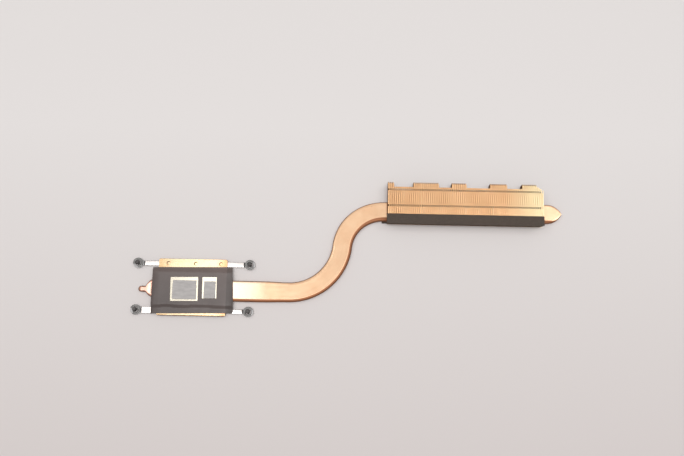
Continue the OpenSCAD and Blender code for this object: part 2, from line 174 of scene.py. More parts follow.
def share_along(tree, axis, start, end, source="Object"):
    """0 where a coordinate in millimetres is start, 1 where it is end, and level beyond both."""
    split = add(tree, "SeparateXYZ")
    tree.links.new(add(tree, "TexCoord").outputs[source], split.inputs["Vector"])
    made = add(tree, "MapRange", From_Min=start * MM, From_Max=end * MM)
    tree.links.new(split.outputs[axis], made.inputs["Value"])
    return made.outputs["Result"]


def greater(tree, first, second):
    made = add(tree, "Math", operation="MAXIMUM")
    tree.links.new(first, made.inputs[0])
    tree.links.new(second, made.inputs[1])
    return made.outputs[0]


def off_middle(tree, low, high):
    """0 halfway between two heights in millimetres, and 1 at either."""
    middle = (low + high) / 2
    return greater(tree, share_along(tree, "Z", middle, high), share_along(tree, "Z", middle, low))


def bump(tree, shader, *layers):
    """Adds bumps to a shader. Each layer is a height socket, a strength and a depth in millimetres."""
    normal = None
    for height, strength, depth in layers:
        made = add(tree, "Bump", Strength=strength, Distance=depth * MM)
        tree.links.new(height, made.inputs["Height"])
        if normal is not None:
            tree.links.new(normal, made.inputs["Normal"])
        normal = made.outputs["Normal"]
    tree.links.new(normal, shader.inputs["Normal"])


def feed(tree, shader, **values):
    """Links a socket, or sets a constant, on the shader's input of that name."""
    for name, value in values.items():
        socket = shader.inputs[name.replace("_", " ")]
        if isinstance(value, bpy.types.NodeSocket):
            tree.links.new(value, socket)
        else:
            socket.default_value = value


print("shader helpers ready")

# %% [markdown]
# ## A short vocabulary for shapes
# A bmesh is Blender's editable mesh, and its operators do what a workshop does: spin turns, extrude
# draws out, bevel breaks an edge, bisect scores a line to bend along. A piece ends in settle, which
# moves it into the frame in metres, shades it, lets it ride on its body and hides what it stands for.


# %% Helpers for shapes
def only(kind, geometry):
    """The vertices, edges or faces in what an operator returned."""
    return [item for item in geometry if isinstance(item, kind)]


def settle(name, bm, body, material, stands_for=(), crease=32):
    """Makes a bmesh in millimetres into a finished piece that rides on a body of the frame."""
    bmesh.ops.recalc_face_normals(bm, faces=bm.faces)
    bmesh.ops.translate(bm, verts=bm.verts, vec=home)
    bmesh.ops.scale(bm, verts=bm.verts, vec=(MM, MM, MM))
    mesh = bpy.data.meshes.new(name)
    bm.to_mesh(mesh)
    bm.free()
    mesh.shade_smooth()
    mesh.set_sharp_from_angle(angle=math.radians(crease))
    mesh.materials.append(material)
    piece = bpy.data.objects.new(name, mesh)
    bpy.context.scene.collection.objects.link(piece)
    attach(piece, body)
    if stands_for:
        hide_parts(*stands_for)
    size = [round(1000 * side, 2) for side in piece.dimensions]
    print(f"{name}: {size} mm, {len(mesh.polygons)} faces")
    return piece


def even_shading(piece):
    """Keeps the shading of wide flat faces flat beside their small rounded edges."""
    weighted = piece.modifiers.new("even shading", "WEIGHTED_NORMAL")
    weighted.keep_sharp = True
    return piece


def sharp_edges(bm, above=60):
    return [e for e in bm.edges if e.is_manifold and math.degrees(e.calc_face_angle()) > above]


def round_edges(bm, edges, radius, segments=2):
    bmesh.ops.bevel(
        bm, geom=edges, offset=radius, segments=segments, profile=0.5, affect="EDGES", material=-1
    )


def score(bm, axis, at):
    """Cuts the mesh along a plane across X, Y or Z, so that it can bend or open there."""
    normal = Vector((axis == "x", axis == "y", axis == "z"))
    everything = bm.verts[:] + bm.edges[:] + bm.faces[:]
    bmesh.ops.bisect_plane(bm, geom=everything, plane_co=normal * at, plane_no=normal)


def slab(bm, low, high):
    """A box between two corners, and its vertices."""
    made = bmesh.ops.create_cube(bm, size=1)["verts"]
    bmesh.ops.scale(bm, verts=made, vec=Vector(high) - Vector(low))
    bmesh.ops.translate(bm, verts=made, vec=(Vector(low) + Vector(high)) / 2)
    return made


def ease(share):
    """A smooth step from 0 to 1."""
    share = max(0.0, min(1.0, share))
    return share * share * (3 - 2 * share)


def stand_in(bm):
    mesh = bpy.data.meshes.new("stand_in")
    bm.to_mesh(mesh)
    bm.free()
    made = bpy.data.objects.new("stand_in", mesh)
    bpy.context.scene.collection.objects.link(made)
    return made


def combine(bm, tool, how):
    """bm with the closed solids of tool cut out of it (DIFFERENCE) or joined to it (UNION)."""
    for part in (bm, tool):
        bmesh.ops.recalc_face_normals(part, faces=part.faces)
    base, cutter = stand_in(bm), stand_in(tool)
    modifier = base.modifiers.new("combine", "BOOLEAN")
    modifier.operation = how
    modifier.solver = "EXACT"
    modifier.object = cutter
    result = base.evaluated_get(bpy.context.evaluated_depsgraph_get())
    made = bmesh.new()
    made.from_mesh(result.data)
    for used in (base, cutter):
        bpy.data.objects.remove(used)
    bmesh.ops.remove_doubles(made, verts=made.verts, dist=1e-4)
    return made


def turned(profile, centre=(0, 0, 0), steps=48):
    """A new bmesh: a profile of radius and height, turned about a vertical axis as on a lathe."""
    bm = bmesh.new()
    tip = bm.verts.new((profile[0][0], 0, profile[0][1]))
    for radius, height in profile[1:]:
        tip = bmesh.ops.extrude_vert_indiv(bm, verts=[tip])["verts"][0]
        tip.co = (radius, 0, height)
    bmesh.ops.spin(
        bm, geom=bm.verts[:] + bm.edges[:], cent=(0, 0, 0), axis=(0, 0, 1), angle=math.tau,
        steps=steps, use_merge=True,
    )
    bmesh.ops.remove_doubles(bm, verts=bm.verts, dist=1e-4)
    bmesh.ops.translate(bm, verts=bm.verts, vec=centre)
    return bm


def gather(parts):
    """One bmesh that holds several. Each stays a shell of its own."""
    whole = bmesh.new()
    for part in parts:
        mesh = bpy.data.meshes.new("part")
        part.to_mesh(mesh)
        part.free()
        whole.from_mesh(mesh)
        bpy.data.meshes.remove(mesh)
    return whole


print("shape helpers ready")

# %% [markdown]
# ## A pen for outlines
# Flat parts are punched from sheet, so they start as an outline. The pen leaves a straight edge by
# extruding a single vertex and an arc by spinning it. Filling the outline gives the blank, holes
# included, and solidify gives the blank its thickness.


# %% Helpers for outlines
def pen_line(bm, tip, x, y):
    """Draws a straight edge from the vertex tip and returns the new tip."""
    made = bmesh.ops.extrude_vert_indiv(bm, verts=[tip])["verts"][0]
    made.co = (x, y, tip.co.z)
    return made


def pen_arc(bm, tip, x, y, degrees, steps):
    """Draws an arc about a point from the vertex tip and returns the new tip."""
    made = bmesh.ops.spin(
        bm, geom=[tip], cent=(x, y, tip.co.z), axis=(0, 0, 1), angle=math.radians(degrees), steps=steps
    )
    return only(bmesh.types.BMVert, made["geom_last"])[0]


def ring(bm, x, y, radius, steps=32):
    made = bmesh.ops.create_circle(bm, segments=steps, radius=radius, cap_ends=False)["verts"]
    bmesh.ops.translate(bm, verts=made, vec=(x, y, 0))


def blank(bm, bottom, thickness):
    """Fills the outline and its holes, and makes it a sheet that stands on the height bottom."""
    bmesh.ops.remove_doubles(bm, verts=bm.verts, dist=1e-4)
    bmesh.ops.triangle_fill(bm, edges=bm.edges[:], use_beauty=True, normal=(0, 0, 1))
    bmesh.ops.recalc_face_normals(bm, faces=bm.faces)
    bmesh.ops.solidify(bm, geom=bm.faces[:], thickness=thickness)
    lowest = min(v.co.z for v in bm.verts)
    bmesh.ops.translate(bm, verts=bm.verts, vec=(0, 0, bottom - lowest))


print("pen ready")

# %% [markdown]
# ## Bright copper
# The pipe is drawn copper tube, pressed flat and then washed bright: a peach metal, soft in its gloss,
# with faint streaks along its length from the drawing. Its round sides are painted brown and matt as
# shade, and its near side more widely. The streaks must follow the bends, so they read the UV map
# that the pipe gets below. The painted shade depends on height and on how far across the pipe a point lies.
# The photograph's glare is softer than a lamp alone can draw on so smooth a metal. So the copper is
# also a little paler along the pipe's first straight part and at the right end of the fins, and it is
# browner round the pipe's nozzle.


# %% What every copper shares
def copper(name, tones, streak_scale, source="Object", gloss=(0.11, 0.18)):
    """Copper with streaks and soft blotches in two tones. Streaks run along the source's first axis."""
    material, tree, shader = new_material(name, metallic=1.0)
    streaks = noise_at(tree, surface_place(tree, streak_scale, source=source), 1.0, 5.0, 0.6)
    blotches = noise_at(tree, surface_place(tree), 160, 3.0)
    body = mix(tree, ramp(tree, blotches, (0.35, 0.0), (0.7, 1.0)), *tones)
    body = mix(tree, ramp(tree, streaks, (0.3, 0.22), (0.62, 0.0)), body, tones[1])
    feed(tree, shader, Roughness=ramp(tree, streaks, (0.2, gloss[0]), (0.8, gloss[1])))
    return material, tree, shader, body, streaks


def paint_shade_over(tree, shader, body, share, tone, glancing):
    """Paints shade: where share is 1 a metal turns matt and takes a darker tone, dark even to a glancing
    look.
    """
    gloss = shader.inputs["Roughness"].links[0].from_socket
    feed(tree, shader, Roughness=mix(tree, share, gloss, (0.55, 0.55, 0.55)))
    feed(tree, shader, Specular_Tint=mix(tree, share, (1, 1, 1), glancing))
    return mix(tree, share, body, tone)


print("copper ready for its four finishes")

# %% The pipe's copper
PIPE_TONES = ((0.93, 0.63, 0.405), (0.875, 0.55, 0.34))
PIPE_GLARE = (0.93, 0.7, 0.52)
# Painted shade: the brown tone of the pipe's round sides.
PIPE_SHADE_TONE = (0.24, 0.105, 0.055)
LEAVING_PLATE = (36, 27)
NOSE_SPAN = (-16.5, -23)
NOSE_TONES = ((0.5, (0.52, 0.3, 0.235)), (0.75, (0.68, 0.43, 0.35)))
# Painted shade: the span across the pipe over which its near side darkens.
NEAR_SIDE_SHADE = (-3.1, -3.45)


def pipe_copper(low, high):
    """Painted shade between its two flats and down its near side, with a few dark specks."""
    material, tree, shader, body, streaks = copper("pipe_copper", PIPE_TONES, (60, 1500, 1), "UV")
    body = mix(tree, share_along(tree, "X", *LEAVING_PLATE, "UV"), body, PIPE_GLARE)
    nose = share_along(tree, "X", *NOSE_SPAN, "UV")
    body = mix(tree, ramp(tree, nose, (0.0, 0.0), (0.15, 1.0)), body, ramp(tree, nose, *NOSE_TONES))
    # Painted shade down the round sides, and more widely down the near side.
    round_side_shade = ramp(tree, off_middle(tree, low, high), (0.6, 1.0), (0.95, 0.0))
    round_and_near_shade = greater(tree, share_along(tree, "Y", *NEAR_SIDE_SHADE, "UV"), round_side_shade)
    body = paint_shade_over(tree, shader, body, round_and_near_shade, PIPE_SHADE_TONE, (0.35, 0.25, 0.2))
    grains = ramp(tree, noise_at(tree, surface_place(tree), 1500, 2.0), (0.69, 0.0), (0.74, 1.0))
    patches = ramp(tree, noise_at(tree, surface_place(tree), 45, 2.0), (0.5, 0.0), (0.6, 0.7))
    specks = mix(tree, 1.0, grains, patches, "MULTIPLY")
    feed(tree, shader, Base_Color=mix(tree, specks, body, (0.42, 0.23, 0.13)))
    dents = noise_at(tree, surface_place(tree), 220, 2.0)
    bump(tree, shader, (streaks, 0.12, 0.02), (dents, 0.25, 0.05))
    return material


print("the pipe's copper is paler up to", LEAVING_PLATE[0], "mm along it")

# %% [markdown]
# The plate was cut from rolled sheet, so its streaks run straight along X. It is paler and more golden
# than the pipe, and painted browner at both ends and paler between them as glare. It is painted dark
# as shade on its cut edges, inside its punched holes and along its near rim. The copper that shows in
# the film's windows is painted greyer, partly as a smear of pad compound and partly as glare.

# %% The plate's copper
PLATE_TONES = ((0.93, 0.76, 0.53), (0.89, 0.68, 0.44))
# Painted shade: the dark tone of the plate's cut edges, punched holes and near rim.
PLATE_EDGE_SHADE = (0.15, 0.082, 0.048)
# Partly a smear of pad compound, partly painted glare: the greyer copper of the raised middle.
PLATE_GLARE_AND_SMEAR = (0.7, 0.645, 0.53)
# Painted glare: paler between the plate's ends and browner at both ends.
PLATE_GLARE_ALONG = (
    (0.0, (0.83, 0.73, 0.6)), (0.22, (0.97, 0.95, 0.9)), (0.6, (1, 0.97, 0.87)),
    (0.84, (1, 0.95, 0.87)), (0.97, (0.79, 0.57, 0.44)),
)
EDGE_SHADE_DEPTH = 0.27
GLARE_AND_SMEAR_ABOVE = 0.6
NEAR_RIM_SHADE = (0.45, 0.3)


def plate_copper(left, right, near, top):
    """Copper for the plate between X = left and right, from Y = near, with its flanges' top at top."""
    material, tree, shader, body, streaks = copper("plate_copper", PLATE_TONES, (90, 1400, 500))
    # Painted glare along the plate, browner at both ends.
    body = mix(tree, 1.0, body, ramp(tree, share_along(tree, "X", left, right), *PLATE_GLARE_ALONG), "MULTIPLY")
    # Partly a smear of pad compound, partly painted glare, on the raised middle that shows in the windows.
    glare_and_smear = share_along(tree, "Z", top + GLARE_AND_SMEAR_ABOVE, top + GLARE_AND_SMEAR_ABOVE + 0.1)
    body = mix(tree, glare_and_smear, body, PLATE_GLARE_AND_SMEAR)
    # Painted shade on the cut edges, inside the punched holes and along the near rim.
    edge = ramp(tree, off_middle(tree, top - EDGE_SHADE_DEPTH, top), (0.65, 1.0), (0.85, 0.0))
    edge = greater(tree, edge, share_along(tree, "Y", near + NEAR_RIM_SHADE[0], near + NEAR_RIM_SHADE[1]))
    feed(tree, shader, Base_Color=paint_shade_over(tree, shader, body, edge, PLATE_EDGE_SHADE, (0.35, 0.25, 0.2)))
    grain = noise_at(tree, surface_place(tree), 5200, 2.0)
    bump(tree, shader, (streaks, 0.12, 0.02), (grain, 0.12, 0.01))
    return material


print("the plate's copper changes at", len(PLATE_GLARE_ALONG), "places along it")

# %% [markdown]
# A fin is a fifth of a millimetre thick, and its flanges shine while the channel behind them is painted
# brown and dark as shade. The far ends of the long fins are painted brown as shade too, and the pack's
# right end is painted paler as glare. The wick inside the pipe is copper powder,
# sintered into a strip, so it gets grains in place of streaks.

# %% The fins' and the wick's copper
FIN_TONES = ((0.77, 0.48, 0.265), (0.71, 0.42, 0.22))
FIN_GLARE = (0.82, 0.66, 0.405)
# Painted shade: the dark tone of the channels and of the long fins' far ends.
FIN_CHANNEL_SHADE = (0.17, 0.075, 0.035)
GLARE_IN = (18, 3)
END_SHADE_SPAN = (0.5, 0.4)


def fin_copper(low, high, far, right):
    """Copper for fins between two heights, with their long ends at Y = far and the last one at right."""
    material, tree, shader, body, streaks = copper("fin_copper", FIN_TONES, (900, 60, 60), gloss=(0.19, 0.3))
    body = mix(tree, share_along(tree, "X", right - GLARE_IN[0], right - GLARE_IN[1]), body, FIN_GLARE)
    # Painted shade in the channel behind each flange and at the long fins' far ends.
    inside = ramp(tree, off_middle(tree, low, high), (0.92, 1.0), (0.975, 0.0))
    ends = share_along(tree, "Y", far - END_SHADE_SPAN[0], far - END_SHADE_SPAN[1])
    inside = greater(tree, inside, ramp(tree, ends, (0.0, 0.0), (1.0, 0.6)))
    feed(tree, shader, Base_Color=paint_shade_over(tree, shader, body, inside, FIN_CHANNEL_SHADE, (0.25, 0.18, 0.14)))
    bump(tree, shader, (streaks, 0.1, 0.01))
    return material


def wick_copper():
    """Copper powder sintered into a strip: matt, brown-red and grainy."""
    material, tree, shader = new_material("wick_copper", metallic=0.8)
    grains = add(tree, "TexVoronoi", Scale=9000.0)
    tree.links.new(surface_place(tree), grains.inputs["Vector"])
    body = ramp(tree, grains.outputs["Distance"], (0.1, (0.62, 0.27, 0.12)), (0.7, (0.25, 0.08, 0.03)))
    feed(tree, shader, Base_Color=body, Roughness=0.75)
    bump(tree, shader, (grains.outputs["Distance"], 0.8, 0.05))
    return material


print("four coppers defined")

# %% [markdown]
# ## Steels and solder
# The spring strips are rolled stainless steel that mirrors the lamps. Only their raised bar is left
# bright: its sides and the eyes below it are painted darker as shade, and rougher. The screws and their
# clips are darker: zinc over steel on the clips, and a black oxide on the screws. Solder is grey and
# dull, with the small craters of flux.

# %% Steel and solder finishes
STRIP_TONES = ((0.65, 0.6, 0.575), (0.6, 0.555, 0.53))
# Painted shade: the tones of the strips' sides and of their lowered eyes.
STRIP_SIDE_SHADE = (0.12, 0.115, 0.11)
STRIP_EYE_SHADE = (0.38, 0.37, 0.37)
CLIP_TONES = ((0.165, 0.16, 0.155), (0.125, 0.12, 0.117))
SCREW_TONES = ((0.075, 0.07, 0.068), (0.04, 0.037, 0.036))
EYE_TOP = 1.46
BAR_FACE = 1.86


def steel(name, tones, gloss, streak_scale, stepped=False):
    """Rolled or turned steel in two tones. A stepped one is painted darker as shade, and rougher, below its
    bar's top face, so that face alone is bright.
    """
    material, tree, shader = new_material(name, metallic=1.0)
    streaks = noise_at(tree, surface_place(tree, streak_scale), 1.0, 5.0, 0.6)
    smears = noise_at(tree, surface_place(tree), 300, 3.0)
    body = mix(tree, ramp(tree, smears, (0.35, 0.0), (0.7, 1.0)), *tones)
    shine = ramp(tree, streaks, (0.25, gloss[0]), (0.75, gloss[1]))
    if stepped:
        # Painted shade below the bar's top face: the sides and the eyes take darker tones.
        top_face = share_along(tree, "Z", BAR_FACE, BAR_FACE + 0.03)
        body = mix(tree, top_face, STRIP_SIDE_SHADE, body)
        body = mix(tree, share_along(tree, "Z", EYE_TOP, EYE_TOP + 0.06), STRIP_EYE_SHADE, body)
        shine = mix(tree, top_face, (0.6, 0.6, 0.6), shine)
    feed(tree, shader, Base_Color=body, Roughness=shine)
    bump(tree, shader, (streaks, 0.15, 0.01))
    return material


def solder():
    material, tree, shader = new_material("solder", metallic=0.9)
    lumps = noise_at(tree, surface_place(tree), 1500, 3.0)
    body = ramp(tree, lumps, (0.3, (0.34, 0.33, 0.32)), (0.7, (0.58, 0.57, 0.55)))
    feed(tree, shader, Base_Color=body, Roughness=0.48)
    bump(tree, shader, (lumps, 0.5, 0.05))
    return material


strip_steel = steel("strip_steel", STRIP_TONES, (0.2, 0.32), (80, 3000, 900), stepped=True)
clip_steel = steel("clip_steel", CLIP_TONES, (0.45, 0.6), (1500, 1500, 200))
screw_steel = steel("screw_steel", SCREW_TONES, (0.4, 0.55), (900, 900, 2500))
solder_grey = solder()
print("steels and solder defined")

# %% [markdown]
# ## Film, pads and foam
# The film is a thin black-grey plastic that has been handled: half matt, with fine scratches and dust.
# It is painted lighter to the far side and darker to the near side as light and shade, it is darker
# towards the left, and it is painted darkest past the plate's end as shade, where no bright copper lies
# under it. The pads are soft grey compound, wiped on and slightly cloudy. The foam is open-celled and
# takes the light only on its cell walls, so its colour comes from a cell pattern as much as from its
# bump, and its faces that don't look up are painted darker as shade.

# %% Film finish
FILM_TONES = ((0.35, (0.112, 0.084, 0.077)), (0.65, (0.134, 0.102, 0.094)))
# Painted shade: the film's tone past the plate's right end.
FILM_SHADE_PAST_PLATE = (0.088, 0.068, 0.062)
# Painted light and shade: the film darker to the near side and lighter to the far side.
FILM_DEPTH_LIGHT_AND_SHADE = ((0.0, 0.8), (0.45, 0.92), (0.8, 1.05), (1.0, 1.5))
# The film grows darker towards its left end.
FILM_LEFT_DARKENING = ((0.0, 0.78), (0.3, 0.86), (0.6, 1.0))
FILM_DUST = (0.42, 0.40, 0.38)
FILM_DARKENING_SPAN = 32


def film_plastic(right, near, far):
    """The film's plastic over a plate that ends at X = right, painted lighter from Y = near to far as light
    and shade.
    """
    material, tree, shader = new_material("film_plastic")
    cloud = noise_at(tree, surface_place(tree), 110, 4.0)
    hairs = noise_at(tree, surface_place(tree, (1, 14, 1), 24), 500, 3.0)
    # Painted shade past the plate's right end.
    past_plate_shade = share_along(tree, "X", right, right + 0.2)
    body = mix(tree, past_plate_shade, ramp(tree, cloud, *FILM_TONES), FILM_SHADE_PAST_PLATE)
    # Painted light and shade, darker to the near side and lighter to the far side.
    depth_light_and_shade = ramp(tree, share_along(tree, "Y", near, far), *FILM_DEPTH_LIGHT_AND_SHADE)
    body = mix(tree, 1.0, body, depth_light_and_shade, "MULTIPLY")
    # Darker towards the film's left end.
    left_darkening = ramp(tree, share_along(tree, "X", right - FILM_DARKENING_SPAN, right), *FILM_LEFT_DARKENING)
    body = mix(tree, 1.0, body, left_darkening, "MULTIPLY")
    dust = ramp(tree, noise_at(tree, surface_place(tree), 3200, 1.0), (0.76, 0.0), (0.79, 0.25))
    shine = ramp(tree, hairs, (0.3, 0.4), (0.7, 0.52))
    feed(tree, shader, Base_Color=mix(tree, dust, body, FILM_DUST), Roughness=shine)
    bump(tree, shader, (hairs, 0.05, 0.02), (cloud, 0.3, 0.3))
    return material


print("film finish defined")


# %% Pad and foam finishes
def pad_compound():
    material, tree, shader = new_material("pad_compound")
    wipes = noise_at(tree, surface_place(tree, (1, 3.5, 1), 25), 260, 5.0, 0.65)
    body = ramp(tree, wipes, (0.32, (0.42, 0.395, 0.385)), (0.68, (0.535, 0.505, 0.49)))
    feed(tree, shader, Base_Color=body, Roughness=0.72)
    grain = noise_at(tree, surface_place(tree), 2600, 3.0)
    bump(tree, shader, (wipes, 0.35, 0.08), (grain, 0.3, 0.03))
    return material


def foam_cells():
    """Dark cells and paler walls. Faces that don't look up are painted darker, as shade."""
    material, tree, shader = new_material("foam_cells")
    cells = add(tree, "TexVoronoi", Scale=2600.0, Randomness=1.0)
    tree.links.new(surface_place(tree), cells.inputs["Vector"])
    cloud = noise_at(tree, surface_place(tree), 240, 4.0)
    dark_cell, pale_wall = (0.060, 0.044, 0.035), (0.115, 0.090, 0.073)
    walls = ramp(tree, cells.outputs["Distance"], (0.15, dark_cell), (0.62, pale_wall))
    body = mix(tree, ramp(tree, cloud, (0.35, 0.0), (0.7, 0.45)), walls, (0.080, 0.066, 0.056))
    facing = add(tree, "SeparateXYZ")
    tree.links.new(add(tree, "NewGeometry").outputs["Normal"], facing.inputs["Vector"])
    # Painted shade on faces that don't look up.
    foam_side_shade = ramp(tree, facing.outputs["Z"], (0.3, (0.36, 0.33, 0.3)), (0.85, (1, 1, 1)))
    body = mix(tree, 1.0, body, foam_side_shade, "MULTIPLY")
    feed(tree, shader, Base_Color=body, Roughness=0.95, Specular_IOR_Level=0.25)
    bump(tree, shader, (cells.outputs["Distance"], 0.7, 0.12), (cloud, 0.3, 0.2))
    return material


print("pad and foam finishes defined")

# %% [markdown]
# ## The heat pipe
# The real pipe is round copper tube that was bent twice, pressed flat, swaged to a nozzle at one end
# for filling and pinched shut at the other. A curve with a bevel would give a tube of one section.
# Spinning an edge loop is closer to the real bending: one flattened loop is extruded along the
# straights and spun about each bend's own centre, and it can be pressed to a new width on the way.

# %% The pipe's route
pipe_low, pipe_high = cad("heat_pipe")
SPREAD = 0.2
PLATE_HALF = 4.7 + SPREAD
FIN_HALF = 4.4 + SPREAD
BEND_START = 44.8
BEND_RADII = (24.8, 19.7)
TAPER_LENGTH = 12.5
pipe_half_height = (pipe_high.z - pipe_low.z) / 2
axis_start = Vector((0, pipe_low.y + PLATE_HALF - SPREAD, pipe_low.z + pipe_half_height))
axis_end_y = pipe_high.y - FIN_HALF + SPREAD
bend_turn = math.acos(1 - (axis_end_y - axis_start.y) / sum(BEND_RADII))
bend_end = BEND_START + sum(BEND_RADII) * math.sin(bend_turn)
first_centre = Vector((BEND_START, axis_start.y + BEND_RADII[0], axis_start.z))
second_centre = Vector((bend_end, axis_end_y - BEND_RADII[1], axis_start.z))
print("each bend turns by", round(math.degrees(bend_turn), 2), "degrees")


def along_and_across(x, y):
    """How far along the pipe a point lies, and how far across it, in millimetres."""
    angle = math.atan2(x - first_centre.x, first_centre.y - y)
    if x < BEND_START:
        return x, y - axis_start.y
    if angle <= bend_turn and y < first_centre.y:
        reach = math.hypot(x - first_centre.x, y - first_centre.y)
        return BEND_START + BEND_RADII[0] * angle, BEND_RADII[0] - reach
    both = BEND_START + sum(BEND_RADII) * bend_turn
    if x < bend_end:
        angle = math.atan2(second_centre.x - x, y - second_centre.y)
        reach = math.hypot(x - second_centre.x, y - second_centre.y)
        return both - BEND_RADII[1] * angle, reach - BEND_RADII[1]
    return both + x - bend_end, y - axis_end_y


# %% [markdown]
# The two ends are pressed in steps. Each step extrudes the last loop a little further and then moulds
# it: the flats between the two round sides shrink, and the rounds keep their shape. The shoulders of
# the nozzle and the sides of the pointed end are arcs, so the width at each step follows a circle.


# %% Bend and press the pipe
NOSE_X = -16.3
NOSE_RADIUS = 6.4
NOZZLE_HALF = 1.4
NOZZLE_HIGH = 0.75
NOSE_SKEW = 0.4
NOZZLE_OFF = 0.28
TIP_RADIUS = 7.7
TIP_HALF = 0.3
SHOULDER_STEPS = 12


def round_side(half, high):
    return min(high, 0.9 * half)


def mould(verts, old, new, axis_y):
    """Presses a flattened loop from one half width and half height to another."""
    old_flat, new_flat = old[0] - round_side(*old), new[0] - round_side(*new)
    for v in verts:
        across, up = v.co.y - axis_y, v.co.z - axis_start.z
        flat = max(-old_flat, min(old_flat, across))
        side = (across - flat) * round_side(*new) / round_side(*old)
        v.co.y = axis_y + flat * new_flat / old_flat + side
        v.co.z = axis_start.z + up * new[1] / old[1]


def press_on(bm, loop, x, old, new, axis_y):
    """Extrudes a loop of edges to x, moulds it there and returns the new loop."""
    made = bmesh.ops.extrude_edge_only(bm, edges=loop)["geom"]
    verts = only(bmesh.types.BMVert, made)
    for v in verts:
        v.co.x = x
    mould(verts, old, new, axis_y)
    return [e for e in only(bmesh.types.BMEdge, made) if e.verts[0] in verts and e.verts[1] in verts]


def arc_run(radius, start_half, end_half):
    """The length that an arc tangent to the pipe needs to go from its full half width to end_half."""
    return math.sqrt(radius**2 - (radius - start_half + end_half) ** 2)


def arc_half(radius, full, distance):
    return full - radius + math.sqrt(radius**2 - distance**2)


def flattened_loop(bm, x, half, high):
    """A circle across the pipe, with its two halves moved apart and flats between them."""
    loop = bmesh.ops.create_circle(bm, segments=28, radius=high, cap_ends=False)["verts"]
    bmesh.ops.rotate(bm, verts=loop, cent=(0, 0, 0), matrix=Matrix.Rotation(math.pi / 28, 3, "Z"))
    bmesh.ops.rotate(bm, verts=loop, cent=(0, 0, 0), matrix=Matrix.Rotation(math.pi / 2, 3, "Y"))
    for v in loop:
        v.co.y += math.copysign(half - high, v.co.y)
    bmesh.ops.translate(bm, verts=loop, vec=(x, axis_start.y, axis_start.z))
    flats = [e for e in bm.edges if e.calc_length() > high]
    bmesh.ops.subdivide_edges(bm, edges=flats, cuts=9)
    return bm.edges[:]


def last_edges(spun):
    return only(bmesh.types.BMEdge, spun["geom_last"])


def bent_pipe():
    bm = bmesh.new()
    first = flattened_loop(bm, BEND_START, FIN_HALF, pipe_half_height)
    full = (FIN_HALF, pipe_half_height)
    wide = (PLATE_HALF, pipe_half_height)
    loop = first
    for centre, turn in ((first_centre, bend_turn), (second_centre, -bend_turn)):
        verts = {v for e in loop for v in e.verts}
        spun = bmesh.ops.spin(bm, geom=list(verts) + loop, cent=centre, axis=(0, 0, 1), angle=turn, steps=60)
        loop = last_edges(spun)
    tip_start = pipe_high.x - arc_run(TIP_RADIUS, FIN_HALF, TIP_HALF)
    for share in (0.02, 0.25, 0.5, 0.75, 1):
        loop = press_on(bm, loop, bend_end + (tip_start - bend_end) * share, full, full, axis_end_y)
    size = full
    for step in range(1, SHOULDER_STEPS + 1):
        share = step / SHOULDER_STEPS
        x = tip_start + (pipe_high.x - tip_start) * share
        new = (arc_half(TIP_RADIUS, FIN_HALF, x - tip_start), pipe_half_height)
        loop = press_on(bm, loop, x, size, new, axis_end_y)
        size = new
    bmesh.ops.contextual_create(bm, geom=loop)
    loop, size = first, full
    for step in range(1, 9):
        share = step / 8
        new = (FIN_HALF + (PLATE_HALF - FIN_HALF) * ease(share), pipe_half_height)
        loop = press_on(bm, loop, BEND_START - TAPER_LENGTH * share, size, new, axis_start.y)
        size = new
    for x in (20, 8, -4, NOSE_X):
        loop = press_on(bm, loop, x, size, size, axis_start.y)
    run = arc_run(NOSE_RADIUS, PLATE_HALF, NOZZLE_HALF)
    skew = 0
    for step in range(1, SHOULDER_STEPS + 1):
        share = step / SHOULDER_STEPS
        high = pipe_half_height + (NOZZLE_HIGH - pipe_half_height) * ease(2 * share - 1)
        new = (arc_half(NOSE_RADIUS, PLATE_HALF, run * share), high)
        loop = press_on(bm, loop, NOSE_X - run * share, size, new, axis_start.y + skew)
        push = NOSE_SKEW * math.sin(math.pi * share) + NOZZLE_OFF * ease(2 * share) - skew
        bmesh.ops.translate(bm, verts=list({v for e in loop for v in e.verts}), vec=(0, push, 0))
        skew += push
        size = new
    for degrees in (90, 60, 35, 15):
        share = math.sin(math.radians(degrees))
        x = pipe_low.x + NOZZLE_HALF * (1 - math.cos(math.radians(degrees)))
        new = (NOZZLE_HALF * share, NOZZLE_HIGH * share)
        loop = press_on(bm, loop, x, size, new, axis_start.y + skew)
        size = new
    bmesh.ops.contextual_create(bm, geom=loop)
    return bm


pipe = bent_pipe()
print("the pipe has", len(pipe.verts), "vertices")

# %% [markdown]
# Pressing leaves marks. The flats sink a few hundredths of a millimetre between the round sides, and
# the inner side of a bend gathers into tiny wrinkles that the press cannot iron out. Both are small
# moves of the vertices, worked out from how far along and across the pipe each vertex lies. The
# second bend of this pipe was also made half a millimetre slack, which the fins hide.

